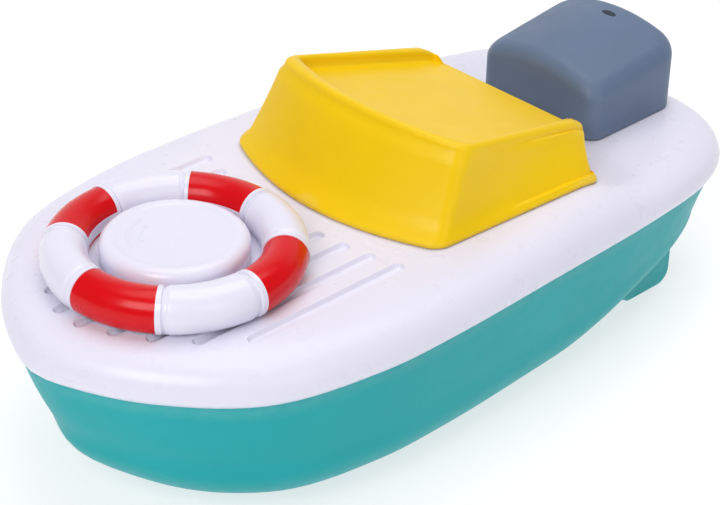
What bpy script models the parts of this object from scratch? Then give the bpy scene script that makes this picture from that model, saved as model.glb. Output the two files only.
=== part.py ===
"""Wind-up bath boat, modelled as an assembly of separate named pieces.

Units are metres. +X points to the bow, +Y to port, +Z up. The origin is on the
floor under the middle of the boat. Turning the life ring on the foredeck winds a
flat spring, whose gear train drives the propeller under the stern.
"""
import math

import bmesh
import bpy
from mathutils import Matrix, Vector

# Overall sizes
LENGTH = 0.230
BEAM = 0.1184
DECK_Z = 0.0553             # deck plane above the floor
EDGE_DROP = 0.0058          # how far the deck's edge falls at the stern
DECK_DROP = 0.0050          # how far the deck itself is lower aft of the cabin
STEP_UNDER_CABIN = 0.0080   # where that step starts, forward of the cabin's back
LEVEL_FROM_BOW = 0.0895     # the deck is level this far from the bow
GAP = 0.0003                # between pieces that touch
RUN = 0.00005               # radial clearance of a turning shaft

# Plan outline from bow to stern, as shares of half the length and half the beam
OUTLINE = [(1.0, 0.0), (0.970, 0.211), (0.881, 0.517), (0.702, 0.847), (0.446, 0.980),
           (0.222, 1.0), (-0.150, 0.968), (-0.523, 0.910), (-0.760, 0.826), (-0.896, 0.689),
           (-0.978, 0.470), (-1.0, 0.0)]
HALF_POINTS = 20            # steps along one side of the outline

# Hull shell
HULL_WALL = 0.0020
HULL_FLOOR = 0.0024
HULL_TOP_DROP = 0.0132      # hull edge below the deck plane
HULL_TOP_INSET = 0.0021
BILGE_INSET = 0.0066        # side inset where the bilge curve starts
BILGE_HEIGHT = 0.0182
BILGE_DEPTH = 0.0200        # how far the bilge curve runs inward
STERN_RISE = 0.0115         # how far the bottom sweeps up at the stern
STERN_RISE_START = 0.0870   # distance from the stern where that begins
STERN_RISE_LENGTH = 0.0670
BOW_RISE = 0.0050           # the same at the bow
BOW_RISE_START = 0.0350
BOW_RISE_LENGTH = 0.0300
MIDDLE_SAG = 0.5            # share by which the middle of the bottom rises less
BOW_RAKE = 1.60             # bow inset per side inset
STERN_RAKE = 0.75
KEEL_Y = 0.0340
KEEL_THICK = 0.0030
KEEL_AFT = 0.0231           # keel's aft edge, forward of the stern
KEEL_LENGTH = 0.0280
KEEL_RADIUS = 0.0045
TUNNEL_HALF = 0.0120        # propeller tunnel
TUNNEL_FLANK = 0.0110       # height of its straight sides
TUNNEL_FRONT = 0.0530       # its front wall, forward of the stern

# Deck shell
DECK_WALL = 0.0022
DECK_EDGE_DROP = 0.0120
RIM_PROFILE = [(0.0016, -0.0120), (0.0003, -0.0104), (0.0, -0.0082), (0.0007, -0.0057), (0.0024, -0.0034),
               (0.0052, -0.0016), (0.0092, -0.0004), (0.0140, 0.0)]
GROOVE_PITCH = 0.0084
GROOVE_COUNT = 10
GROOVE_WIDTH = 0.0034
GROOVE_DEPTH = 0.0013
GROOVE_BOW_INSET = 0.0105
GROOVE_SIDE_INSET = 0.0125
GROOVE_CABIN_GAP = 0.0070
GROOVE_ARC = 0.0062         # how far the grooves' aft ends fall back at the sides
HUB_RADIUS = 0.0090
HUB_RISE = 0.0004

# Life ring, the winder
RING_FROM_BOW = 0.0466      # ring axis behind the bow tip
RING_RADIUS = 0.0343
TUBE_RADIUS = 0.0062
TUBE_CENTRE = 0.0053        # above the deck plane
RING_FLOAT = 0.0006         # ring's flat underside above the deck plane
WEB_BOTTOM = 0.0010
WEB_TOP = 0.0028
SOCKET_RADIUS = 0.0060
SOCKET_TOP = 0.0056
CAP_INSET = 0.0150          # cap's edge inside the ring's outer edge
CAP_TOP = 0.0099
CAP_WALL = 0.0016
CAP_ROUND = 0.0028
SHAFT_RADIUS = 0.0030
SHAFT_FOOT_RADIUS = 0.0020
SHAFT_SQUARE = 0.0042

# Cabin
CABIN_FROM_RING = 0.0457    # front of the windscreen's foot, aft of the ring axis
CABIN_LENGTH = 0.0690
CABIN_HALF = 0.0418
CABIN_ARC = 0.0118          # bow-shaped front, depth of its arc
CABIN_CORNER = 0.0055
CABIN_TAIL_CORNER = 0.0028
CABIN_TOP_BACK = 0.0150     # windscreen's top edge behind its foot
CABIN_TOP_HALF = 0.0371
CABIN_TOP_ARC = 0.0075
CABIN_TAIL_HALF = 0.0312
CABIN_TAIL_OVER = 0.0068    # roof's overhang past the foot at the back
CABIN_FRONT_HEIGHT = 0.0262
CABIN_TAIL_HEIGHT = 0.0116
CABIN_LIP = 0.0009
CABIN_LIP_HEIGHT = 0.0014
CABIN_WALL = 0.0020
CABIN_RIM = 0.0058          # width of the raised rim round the roof plate
CABIN_RECESS = 0.0036
CABIN_ROUND = 0.0022

# Motor cowl
COWL_FROM_STERN = 0.0105
COWL_LENGTH = 0.0379
COWL_HALF = 0.0223
COWL_FRONT_HEIGHT = 0.0150  # above the deck plane, on the centre line
COWL_TAIL_HEIGHT = 0.0198
COWL_CROWN = 0.0046
COWL_FRONT_ROUND = 0.0046   # upright corners
COWL_BACK_ROUND = 0.0070
COWL_EDGE = 0.0042          # rounding of the roof's edge
COWL_WALL = 0.0020

# Gearbox and gear train, heights above the floor
TOOTH_MODULE = 0.0008
BIG_TEETH = 36
PINION_TEETH = 12
CROWN_TEETH = 24
SHAFT_PINION_TEETH = 8
BOX_RADIUS = 0.0182
BOX_WALL = 0.0018
BOX_BOTTOM = 0.0060
BOX_FLOOR = 0.0016
LID_THICK = 0.0020
ARBOR_RADIUS = 0.0010
FOOT_BEARING_HEIGHT = 0.0062
GREAT_WHEEL_RISE = 0.0095   # above the gearbox's underside
GREAT_WHEEL_THICK = 0.0030
IDLER_WHEEL_RISE = 0.0045   # above the great wheel's underside
IDLER_WHEEL_THICK = 0.0025
CROWN_RISE = 0.0010         # above the great wheel's underside
CROWN_THICK = 0.0025
CROWN_FACE = 0.0024
SAW_TEETH = 16              # ratchet ring under the great wheel
SAW_OUTER = 0.0090
SAW_INNER = 0.0078
RATCHET_RIM = 0.0110
RATCHET_HEIGHT = 0.0026
RATCHET_ARM = [(0.0050, 0), (0.0058, 25), (0.0068, 60), (0.0075, 88), (0.0068, 90), (0.0060, 62),
               (0.0050, 40), (0.0047, 90), (0.0047, 140)]   # radius and degrees of one springy arm
SPRING_RISE = 0.0040        # above the idler wheel's underside
SPRING_HEIGHT = 0.0095
SPRING_TURNS = 5
SPRING_STRIP = 0.0004
EAR_RISE = 0.0053
EAR_THICK = 0.0025
EAR_RADIUS = 0.0034
EAR_BOSS_RADIUS = 0.0026
LID_BOSS_RADIUS = 0.0026

# Propeller and its shaft
PROP_SHAFT_RADIUS = 0.0012
PROP_RADIUS = 0.0080
PROP_HUB_RADIUS = 0.0032
PROP_HUB_LENGTH = 0.0075
PROP_BEHIND_WALL = 0.0060
BLADE_SECTIONS = [(0.0, 0.0016, 50), (0.2, 0.0020, 42), (0.6, 0.0026, 34), (0.9, 0.0022, 30),
                  (1.0, 0.0012, 28)]   # share of the reach, half width, pitch in degrees
STERN_TUBE_RADIUS = 0.0030
STERN_TUBE_LENGTH = 0.0135

# Screws
SCREW_RADIUS = 0.0013
SCREW_HEAD_RADIUS = 0.0026
SCREW_HEAD_HEIGHT = 0.0016
SCREW_SIDES = 8             # screws and the holes they sit in
POST_SIDES = 10
POST_RADIUS = 0.0036
HULL_POST_RADIUS = 0.0042
HULL_SEAT_Z = 0.0140
HULL_POST_TOP = 0.0180
DECK_PILOT_DEPTH = 0.0095
SCREW_PILOT_START = 0.0020  # pilot holes start this far outside their post
CABIN_PILOT_DEPTH = 0.0062
COWL_PILOT_DEPTH = 0.0085
LID_PILOT_DEPTH = 0.0080
HULL_POSTS = [(0.0380, 0.0250), (-0.0300, 0.0250), (-0.0780, 0.0195)]

BOW_X = LENGTH / 2
STERN_X = -LENGTH / 2
LEVEL_X = BOW_X - LEVEL_FROM_BOW
RING_X = BOW_X - RING_FROM_BOW
CAP_RADIUS = RING_RADIUS - CAP_INSET
CABIN_FRONT_X = RING_X - CABIN_FROM_RING
CABIN_BACK_X = CABIN_FRONT_X - CABIN_LENGTH
COWL_BACK_X = STERN_X + COWL_FROM_STERN
COWL_FRONT_X = COWL_BACK_X + COWL_LENGTH
STEP_X = CABIN_BACK_X + STEP_UNDER_CABIN
TUNNEL_X = STERN_X + TUNNEL_FRONT
GEAR_STEP = TOOTH_MODULE * (BIG_TEETH + PINION_TEETH) / 2
IDLER_X = RING_X - GEAR_STEP
CROWN_X = IDLER_X - GEAR_STEP
GREAT_WHEEL_Z = BOX_BOTTOM + GREAT_WHEEL_RISE
IDLER_WHEEL_Z = GREAT_WHEEL_Z + IDLER_WHEEL_RISE
CROWN_Z = GREAT_WHEEL_Z + CROWN_RISE
SPRING_BOTTOM = IDLER_WHEEL_Z + SPRING_RISE
BOX_TOP = SPRING_BOTTOM + SPRING_HEIGHT + 0.0012
EAR_BOTTOM = BOX_BOTTOM + EAR_RISE
FOOT_BEARING_TOP = BOX_BOTTOM + FOOT_BEARING_HEIGHT
CROWN_RADIUS = TOOTH_MODULE * CROWN_TEETH / 2
SHAFT_PINION_RADIUS = TOOTH_MODULE * SHAFT_PINION_TEETH / 2
PROP_Z = CROWN_Z - 1.25 * TOOTH_MODULE - SHAFT_PINION_RADIUS


# ---------------------------------------------------------------- helpers

def clear_scene():
    for item in list(bpy.data.objects):
        bpy.data.objects.remove(item, do_unlink=True)


def plastic(name, color, roughness, metallic=0.0):
    material = bpy.data.materials.new(name)
    material.use_nodes = True
    shader = material.node_tree.nodes["Principled BSDF"]
    shader.inputs["Base Color"].default_value = (*color, 1.0)
    shader.inputs["Roughness"].default_value = roughness
    shader.inputs["Metallic"].default_value = metallic
    return material


def add_object(name, bm, material=None, sharp_deg=35.0):
    """Close the bmesh into an object whose faces point out."""
    bmesh.ops.recalc_face_normals(bm, faces=bm.faces)
    mesh = bpy.data.meshes.new(name)
    bm.to_mesh(mesh)
    bm.free()
    mesh.shade_smooth()
    mesh.set_sharp_from_angle(angle=math.radians(sharp_deg))
    item = bpy.data.objects.new(name, mesh)
    bpy.context.collection.objects.link(item)
    if material:
        mesh.materials.append(material)
    return item


def as_cutter(item):
    item.hide_render = True
    item.display_type = "WIRE"
    return item


def boolean(target, other, operation):
    modifier = target.modifiers.new(operation.lower(), "BOOLEAN")
    modifier.operation = operation
    modifier.solver = "EXACT"
    modifier.object = as_cutter(other)


def loft_into(bm, rings, closed=False):
    """Skin a list of point rings, and cap the ends unless the rings join up."""
    rows = [[bm.verts.new(point) for point in ring] for ring in rings]
    count = len(rows[0])
    pairs = list(zip(rows, rows[1:]))
    if closed:
        pairs.append((rows[-1], rows[0]))
    for low, high in pairs:
        for i in range(count):
            j = (i + 1) % count
            bm.faces.new((low[i], low[j], high[j], high[i]))
    if not closed:
        bm.faces.new(rows[0])
        bm.faces.new(rows[-1])


def circle(radius, z, segments, center=(0.0, 0.0)):
    points = []
    for i in range(segments):
        angle = 2 * math.pi * (i + 0.5) / segments
        points.append((center[0] + radius * math.cos(angle), center[1] + radius * math.sin(angle), z))
    return points


def turned_into(bm, profile, segments, center=(0.0, 0.0)):
    """Solid of revolution about Z. The profile is (radius, z) from one end to the other."""
    loft_into(bm, [circle(r, z, segments, center) for r, z in profile])


def turned(name, profile, segments, material, center=(0.0, 0.0)):
    bm = bmesh.new()
    turned_into(bm, profile, segments, center)
    return add_object(name, bm, material)


def turned_ring(name, profile, segments, material, center=(0.0, 0.0)):
    """Ring of revolution about Z. The profile is a closed (radius, z) loop."""
    bm = bmesh.new()
    rings = []
    for i in range(segments):
        angle = 2 * math.pi * (i + 0.5) / segments
        across, along = math.cos(angle), math.sin(angle)
        rings.append([(center[0] + r * across, center[1] + r * along, z) for r, z in profile])
    loft_into(bm, rings, closed=True)
    return add_object(name, bm, material)


def plate_into(bm, outer, holes, z_low, z_high):
    """Flat plate between two heights with an outline and any number of holes."""
    edges = []
    for loop in [outer] + holes:
        verts = [bm.verts.new((x, y, z_low)) for x, y in loop]
        edges += [bm.edges.new((verts[i], verts[(i + 1) % len(verts)])) for i in range(len(verts))]
    faces = bmesh.ops.triangle_fill(bm, use_beauty=True, edges=edges)["geom"]
    faces = [item for item in faces if isinstance(item, bmesh.types.BMFace)]
    raised = bmesh.ops.extrude_face_region(bm, geom=faces)["geom"]
    top = [item for item in raised if isinstance(item, bmesh.types.BMVert)]
    bmesh.ops.translate(bm, vec=(0, 0, z_high - z_low), verts=top)


def plate(name, outer, holes, z_low, z_high, material=None):
    bm = bmesh.new()
    plate_into(bm, outer, holes, z_low, z_high)
    return add_object(name, bm, material)


def flat_circle(radius, segments, center=(0.0, 0.0)):
    return [(x, y) for x, y, _ in circle(radius, 0.0, segments, center)]


def lay_along_x(item, x, z):
    """Turn a piece made about Z so that its axis runs along +X through (x, 0, z)."""
    item.matrix_world = Matrix.Translation((x, 0, z)) @ Matrix.Rotation(math.radians(90), 4, "Y")


def catmull_rom(points, steps):
    """Points on a smooth open curve through the given ones, mirrored past its ends."""
    first = Vector((points[1][0], -points[1][1]))
    last = Vector((points[-2][0], -points[-2][1]))
    knots = [first] + [Vector(p) for p in points] + [last]
    curve = []
    for i in range(1, len(knots) - 2):
        p0, p1, p2, p3 = knots[i - 1:i + 3]
        t1 = (p1 - p0).length ** 0.5
        t2 = t1 + (p2 - p1).length ** 0.5
        t3 = t2 + (p3 - p2).length ** 0.5
        for k in range(steps):
            t = t1 + (t2 - t1) * k / steps
            a1 = p0 * ((t1 - t) / t1) + p1 * (t / t1)
            a2 = p1 * ((t2 - t) / (t2 - t1)) + p2 * ((t - t1) / (t2 - t1))
            a3 = p2 * ((t3 - t) / (t3 - t2)) + p3 * ((t - t2) / (t3 - t2))
            b1 = a1 * ((t2 - t) / t2) + a2 * (t / t2)
            b2 = a2 * ((t3 - t) / (t3 - t1)) + a3 * ((t - t1) / (t3 - t1))
            curve.append(b1 * ((t2 - t) / (t2 - t1)) + b2 * ((t - t1) / (t2 - t1)))
    curve.append(Vector(points[-1]))
    return curve


def even_points(curve, count):
    """Resample a polyline into equal steps."""
    lengths = [0.0]
    for a, b in zip(curve, curve[1:]):
        lengths.append(lengths[-1] + (b - a).length)
    points = []
    segment = 0
    for i in range(count + 1):
        wanted = lengths[-1] * i / count
        while segment < len(curve) - 2 and lengths[segment + 1] < wanted:
            segment += 1
        share = (wanted - lengths[segment]) / (lengths[segment + 1] - lengths[segment])
        points.append(curve[segment].lerp(curve[segment + 1], share))
    return points


# ---------------------------------------------------------------- boat lines

def half_outline():
    scaled = [(x * LENGTH / 2, y * BEAM / 2) for x, y in OUTLINE]
    return even_points(catmull_rom(scaled, 12), HALF_POINTS)


PORT_SIDE = half_outline()


def soft_step(share):
    share = min(max(share, 0.0), 1.0)
    return share * share * (3 - 2 * share)


def edge_fall(x):
    """How far the deck's edge lies below the deck plane, growing towards the stern."""
    return -EDGE_DROP * (max(LEVEL_X - x, 0.0) / (LEVEL_X - STERN_X)) ** 2


def bottom_rise(x):
    """How far the bottom sweeps up towards the stern and the bow."""
    aft = STERN_RISE * soft_step((STERN_X + STERN_RISE_START - x) / STERN_RISE_LENGTH)
    fore = BOW_RISE * soft_step((x - BOW_X + BOW_RISE_START) / BOW_RISE_LENGTH)
    return aft + fore


def swept(ring, weight):
    """The ring with its points raised by a share of the bottom's sweep."""
    share = weight * (1 - ring[0][2] / (DECK_Z - HULL_TOP_DROP))
    return [(x, y, z + bottom_rise(x) * share) for x, y, z in ring]


def deck_fall(x):
    """How far the deck itself lies below the deck plane: a soft step under the cabin's back."""
    return -DECK_DROP * soft_step((STEP_X - x) / (STEP_X - COWL_FRONT_X))


def deck_z(x):
    return DECK_Z + deck_fall(x)


def inset_side(side, bow, stern):
    """One side of the outline, moved in by the three insets."""
    length_share = (LENGTH - bow - stern) / LENGTH
    beam_share = 1 - side / (BEAM / 2)
    shift = (stern - bow) / 2
    return [(p.x * length_share + shift, p.y * beam_share) for p in PORT_SIDE]


def outline_ring(side, bow, stern, z, edge_share, deck_share=0.0):
    """Level ring, lowered aft by a share of the edge's fall and a share of the deck's."""
    half = inset_side(side, bow, stern)
    full = half + [(x, -y) for x, y in reversed(half[1:-1])]
    return [(x, y, z + edge_fall(x) * edge_share + deck_fall(x) * deck_share) for x, y in full]


def deck_ring(side, drop):
    """Ring of the deck shell: it follows the edge at its foot and the deck at its top."""
    edge_share = min(-drop / -RIM_PROFILE[2][1], 1.0)
    return outline_ring(side, side, side, DECK_Z + drop, edge_share, 1.0 - edge_share)


def ladder_cap(bm, row):
    """Close a symmetric ring with strips that run straight across the boat."""
    count = len(row)
    half = count // 2
    for i in range(half):
        corners = [row[i], row[i + 1], row[(count - i - 1) % count], row[(count - i) % count]]
        unique = list(dict.fromkeys(corners))
        bm.faces.new(unique)


def boat_loft(name, rings, material=None):
    """Skin boat-shaped rings and close both ends with strips across."""
    bm = bmesh.new()
    rows = [[bm.verts.new(point) for point in ring] for ring in rings]
    count = len(rows[0])
    for low, high in zip(rows, rows[1:]):
        for i in range(count):
            j = (i + 1) % count
            bm.faces.new((low[i], low[j], high[j], high[i]))
    ladder_cap(bm, rows[0])
    ladder_cap(bm, rows[-1])
    bmesh.ops.triangulate(bm, faces=bm.faces)
    return add_object(name, bm, material)


def hull_rings(wall, floor, top_z, angles):
    """Rings of the hull's skin, or of its inside for a wall above zero."""
    rings = []
    for angle in angles:
        turn = math.radians(angle)
        side = BILGE_INSET + wall + (BILGE_DEPTH - wall / 2) * (1 - math.cos(turn))
        z = floor + (BILGE_HEIGHT - floor) * (1 - math.sin(turn))
        level = outline_ring(side, side * BOW_RAKE, side * STERN_RAKE, z, 0.0)
        rings.append(swept(level, 1 - MIDDLE_SAG * (1 - math.cos(turn)) ** 3))
    for share in (0.5, 1.0):
        side = BILGE_INSET + (HULL_TOP_INSET - BILGE_INSET) * share + wall
        z = BILGE_HEIGHT + (DECK_Z - HULL_TOP_DROP - BILGE_HEIGHT) * share
        level = outline_ring(side, side, side, z, 0.0)
        raised = swept(level, 1.0)
        rings.append([(x, y, low + edge_fall(x) * share) for x, y, low in raised])
    if top_z:
        side = HULL_TOP_INSET + wall
        rings.append(outline_ring(side, side, side, top_z, 1.0))
    return rings


def post_places():
    return [(x, sign * y) for x, y in HULL_POSTS for sign in (1, -1)]


# ---------------------------------------------------------------- hull shell

def tunnel_block(name, half, flank, front_x, back_x):
    """Arch-topped block along X, the shape of the propeller tunnel."""
    arch = [(-half, -0.010), (half, -0.010), (half, flank)]
    for i in range(1, 10):
        angle = math.pi * i / 10
        arch.append((half * math.cos(angle), flank + half * math.sin(angle)))
    arch.append((-half, flank))
    bm = bmesh.new()
    loft_into(bm, [[(x, y, z) for y, z in arch] for x in (front_x, back_x)])
    return add_object(name, bm)


def keel_blanks():
    """The two keel plates under the stern quarters, with a rounded aft corner."""
    aft = STERN_X + KEEL_AFT
    front = aft + KEEL_LENGTH
    side = [(aft, 0.0160)]
    for i in range(6):
        angle = math.radians(180 + 18 * i)
        across, up = KEEL_RADIUS * math.cos(angle), KEEL_RADIUS * math.sin(angle)
        side.append((aft + KEEL_RADIUS + across, KEEL_RADIUS + up))
    side += [(front - 0.010, 0.0), (front, 0.0060), (front, 0.0160)]
    bm = bmesh.new()
    for sign in (1, -1):
        low = sign * KEEL_Y - KEEL_THICK / 2
        loft_into(bm, [[(x, y, z) for x, z in side] for y in (low, low + KEEL_THICK)])
    return add_object("keel_blanks", bm)


def hull_bosses():
    """Deck-screw posts, gearbox bosses and the stern tube's boss, before drilling."""
    bm = bmesh.new()
    for place in post_places():
        turned_into(bm, [(HULL_POST_RADIUS, -0.001), (HULL_POST_RADIUS, HULL_POST_TOP)], POST_SIDES, place)
    for place in ear_places():
        turned_into(bm, [(EAR_BOSS_RADIUS, -0.001), (EAR_BOSS_RADIUS, EAR_BOTTOM - GAP)], POST_SIDES, place)
    return add_object("hull_bosses", bm)


def hull_holes():
    """Counterbores and screw holes from below, and pilot holes of the gearbox bosses."""
    bm = bmesh.new()
    for place in post_places():
        profile = [(SCREW_HEAD_RADIUS + GAP, -0.002), (SCREW_HEAD_RADIUS + GAP, HULL_SEAT_Z),
                   (SCREW_RADIUS + GAP, HULL_SEAT_Z), (SCREW_RADIUS + GAP, HULL_POST_TOP + 0.001)]
        turned_into(bm, profile, SCREW_SIDES, place)
    for place in ear_places():
        profile = [(SCREW_RADIUS + RUN, HULL_FLOOR), (SCREW_RADIUS + RUN, EAR_BOTTOM)]
        turned_into(bm, profile, SCREW_SIDES, place)
    return add_object("hull_holes", bm)


def make_hull(teal):
    hull = boat_loft("hull_shell", hull_rings(0.0, 0.0, 0.0, (90, 66, 44, 22, 0)), teal)
    cavity = boat_loft("hull_cavity", hull_rings(HULL_WALL, HULL_FLOOR, DECK_Z, (90, 58, 28, 0)))
    casing = tunnel_block("tunnel_casing", TUNNEL_HALF + HULL_WALL, TUNNEL_FLANK,
                          TUNNEL_X + HULL_WALL, STERN_X - 0.010)
    boolean(cavity, casing, "DIFFERENCE")
    boolean(cavity, hull_bosses(), "DIFFERENCE")
    boolean(hull, keel_blanks(), "UNION")
    boolean(hull, cavity, "DIFFERENCE")
    boolean(hull, tunnel_block("tunnel", TUNNEL_HALF, TUNNEL_FLANK, TUNNEL_X, STERN_X - 0.020), "DIFFERENCE")
    boolean(hull, hull_holes(), "DIFFERENCE")
    profile = [(STERN_TUBE_RADIUS + GAP, -2 * HULL_WALL), (STERN_TUBE_RADIUS + GAP, 2 * HULL_WALL)]
    bore = turned("stern_tube_hole", profile, 16, None)
    lay_along_x(bore, TUNNEL_X + HULL_WALL / 2, PROP_Z)
    boolean(hull, bore, "DIFFERENCE")


def make_rim_seal(rubber):
    """Flat gasket between the hull's edge and the deck's skirt."""
    low = DECK_Z - HULL_TOP_DROP + GAP
    high = DECK_Z - DECK_EDGE_DROP - GAP
    corners = [(HULL_TOP_INSET + 0.0003, low), (HULL_TOP_INSET + 0.0003, high),
               (HULL_TOP_INSET + 0.0016, high), (HULL_TOP_INSET + 0.0016, low)]
    bm = bmesh.new()
    loft_into(bm, [outline_ring(s, s, s, z, 1.0) for s, z in corners], closed=True)
    add_object("rim_seal", bm, rubber)


# ---------------------------------------------------------------- deck shell

def arc_front(y, front, depth, half):
    return front - depth * (y / half) ** 2


def groove_ends(y):
    """Fore and aft ends of the groove at this Y."""
    bow_side = inset_side(GROOVE_SIDE_INSET, GROOVE_BOW_INSET, GROOVE_SIDE_INSET)
    fore = CABIN_FRONT_X
    for a, b in zip(bow_side, bow_side[1:]):
        if a[1] <= abs(y) <= b[1]:
            fore = a[0] + (b[0] - a[0]) * (abs(y) - a[1]) / (b[1] - a[1])
            break
    aft = arc_front(y, CABIN_FRONT_X, GROOVE_ARC, CABIN_HALF) + GROOVE_CABIN_GAP
    return fore, aft


def groove_outline(y):
    fore, aft = groove_ends(y)
    radius = GROOVE_WIDTH / 2
    points = []
    for center, start in ((fore - radius, -90), (aft + radius, 90)):
        for i in range(5):
            angle = math.radians(start + 45 * i)
            points.append((center + radius * math.cos(angle), y + radius * math.sin(angle)))
    return points


def deck_grooves():
    bm = bmesh.new()
    for i in range(GROOVE_COUNT):
        y = (i - (GROOVE_COUNT - 1) / 2) * GROOVE_PITCH
        outline = groove_outline(y)
        loft_into(bm, [[(px, py, z) for px, py in outline] for z in (DECK_Z - GROOVE_DEPTH, DECK_Z + 0.002)])
    return add_object("deck_grooves", bm)


def cabin_screw_places():
    return [(x, sign * 0.028) for x in (CABIN_FRONT_X - 0.0287, CABIN_BACK_X + 0.0100) for sign in (1, -1)]


def cowl_screw_places():
    return [(COWL_FRONT_X - 0.0085, 0.0), (COWL_BACK_X + 0.0085, 0.0)]


def deck_bosses():
    """Screw posts under the deck, and the hub that carries the winding shaft's seal."""
    bm = bmesh.new()
    for x, y in post_places():
        profile = [(POST_RADIUS, HULL_POST_TOP + GAP), (POST_RADIUS, deck_z(x) - DECK_WALL / 2)]
        turned_into(bm, profile, POST_SIDES, (x, y))
    profile = [(0.0062, DECK_Z - 0.0080), (0.0062, DECK_Z - DECK_WALL), (HUB_RADIUS, DECK_Z - DECK_WALL),
               (HUB_RADIUS, DECK_Z + HUB_RISE)]
    turned_into(bm, profile, 28, (RING_X, 0.0))
    return add_object("deck_bosses", bm)


def deck_holes():
    bm = bmesh.new()
    for place in post_places():
        profile = [(SCREW_RADIUS + RUN, HULL_POST_TOP),
                   (SCREW_RADIUS + RUN, HULL_POST_TOP + DECK_PILOT_DEPTH)]
        turned_into(bm, profile, SCREW_SIDES, place)
    for x, y in cabin_screw_places() + cowl_screw_places():
        profile = [(SCREW_RADIUS + GAP, deck_z(x) - 0.006), (SCREW_RADIUS + GAP, deck_z(x) + 0.003)]
        turned_into(bm, profile, SCREW_SIDES, (x, y))
    gland = 0.0046
    bore = SHAFT_RADIUS + 0.0004
    profile = [(bore, DECK_Z - 0.010), (bore, DECK_Z - 0.0062), (gland, DECK_Z - 0.0062),
               (gland, DECK_Z - 0.0040), (bore, DECK_Z - 0.0040), (bore, DECK_Z + 0.003)]
    turned_into(bm, profile, 20, (RING_X, 0.0))
    return add_object("deck_holes", bm)


def make_deck(white):
    outer = [deck_ring(inset, drop) for inset, drop in RIM_PROFILE]
    inner_profile = [(RIM_PROFILE[0][0] + DECK_WALL, -DECK_EDGE_DROP), (DECK_WALL, -0.0082),
                     (0.0052, -0.0042), (0.0140, -DECK_WALL)]
    inner = [deck_ring(inset, drop) for inset, drop in inner_profile]
    deck = boat_loft("deck_shell", list(reversed(inner)) + outer, white)
    boolean(deck, deck_grooves(), "DIFFERENCE")
    boolean(deck, deck_bosses(), "UNION")
    boolean(deck, deck_holes(), "DIFFERENCE")


# ---------------------------------------------------------------- cabin

def cabin_ring(front, back, half_front, half_back, arc, height, offset, tail_offset=None):
    """Plan ring of the cabin: bow-shaped front, straight sides, square back, round corners.

    height(x, y) gives each point's Z. offset moves the ring inward, and tail_offset its back.
    """
    front -= offset
    back += offset if tail_offset is None else tail_offset
    half_front -= offset
    half_back -= offset
    corner = max(CABIN_CORNER - offset, 0.0015)
    tail_corner = max(CABIN_TAIL_CORNER - offset, 0.0008)
    port = []
    for i in range(6):
        y = (half_front - corner) * i / 6
        port.append((arc_front(y, front, arc, half_front), y))
    turn_x = arc_front(half_front - corner, front, arc, half_front) - corner
    for i in range(5):
        angle = math.radians(90 * i / 4)
        port.append((turn_x + corner * math.cos(angle), half_front - corner + corner * math.sin(angle)))
    for share in (0.33, 0.67):
        x = turn_x + (back + tail_corner - turn_x) * share
        port.append((x, half_front + (half_back - half_front) * share))
    for i in range(4):
        angle = math.radians(90 + 90 * i / 3)
        port.append((back + tail_corner + tail_corner * math.cos(angle),
                     half_back - tail_corner + tail_corner * math.sin(angle)))
    rim_foot = min(CABIN_TAIL_HALF - CABIN_RIM, half_back - tail_corner - 0.0004)
    port += [(back, rim_foot), (back, rim_foot - 0.0008), (back, 0.0)]
    full = port + [(x, -y) for x, y in reversed(port[1:-1])]
    return [(x, y, height(x, y)) for x, y in full]


def roof_height(x):
    """Cabin roof above the deck plane: a straight slope down to the back."""
    front = CABIN_FRONT_X - CABIN_TOP_BACK
    share = (front - x) / (front - CABIN_BACK_X + CABIN_TAIL_OVER)
    return CABIN_FRONT_HEIGHT + (CABIN_TAIL_HEIGHT - CABIN_FRONT_HEIGHT) * share


def cabin_wall_ring(share, offset, lip=0.0, drop=0.0):
    """Ring of the cabin's wall at a share of its height, from 0 at the deck to 1 at the roof."""
    bulge = 0.0007 * math.sin(math.pi * share)

    def height(x, y):
        foot = deck_z(x) + GAP + drop
        return foot + (DECK_Z + roof_height(x) - foot) * share

    return cabin_ring(
        CABIN_FRONT_X - CABIN_TOP_BACK * share,
        CABIN_BACK_X - CABIN_TAIL_OVER * share,
        CABIN_HALF + (CABIN_TOP_HALF - CABIN_HALF) * share,
        CABIN_HALF + (CABIN_TAIL_HALF - CABIN_HALF) * share,
        CABIN_ARC + (CABIN_TOP_ARC - CABIN_ARC) * share, height, offset - lip + bulge)


def cabin_roof_ring(offset, drop, tail_offset=None, tail_drop=0.0):
    """Ring at the roof. tail_drop lowers its back between the side rims, where the plate runs out."""
    back = CABIN_BACK_X - CABIN_TAIL_OVER
    edge = CABIN_TAIL_HALF - CABIN_RIM - 0.0004

    def height(x, y):
        open_tail = abs(y) < edge and x < back + CABIN_ROUND * 1.5
        return DECK_Z + roof_height(x) - drop - (tail_drop if open_tail else 0.0)

    return cabin_ring(CABIN_FRONT_X - CABIN_TOP_BACK, back, CABIN_TOP_HALF, CABIN_TAIL_HALF,
                      CABIN_TOP_ARC, height, offset, tail_offset)


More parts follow.
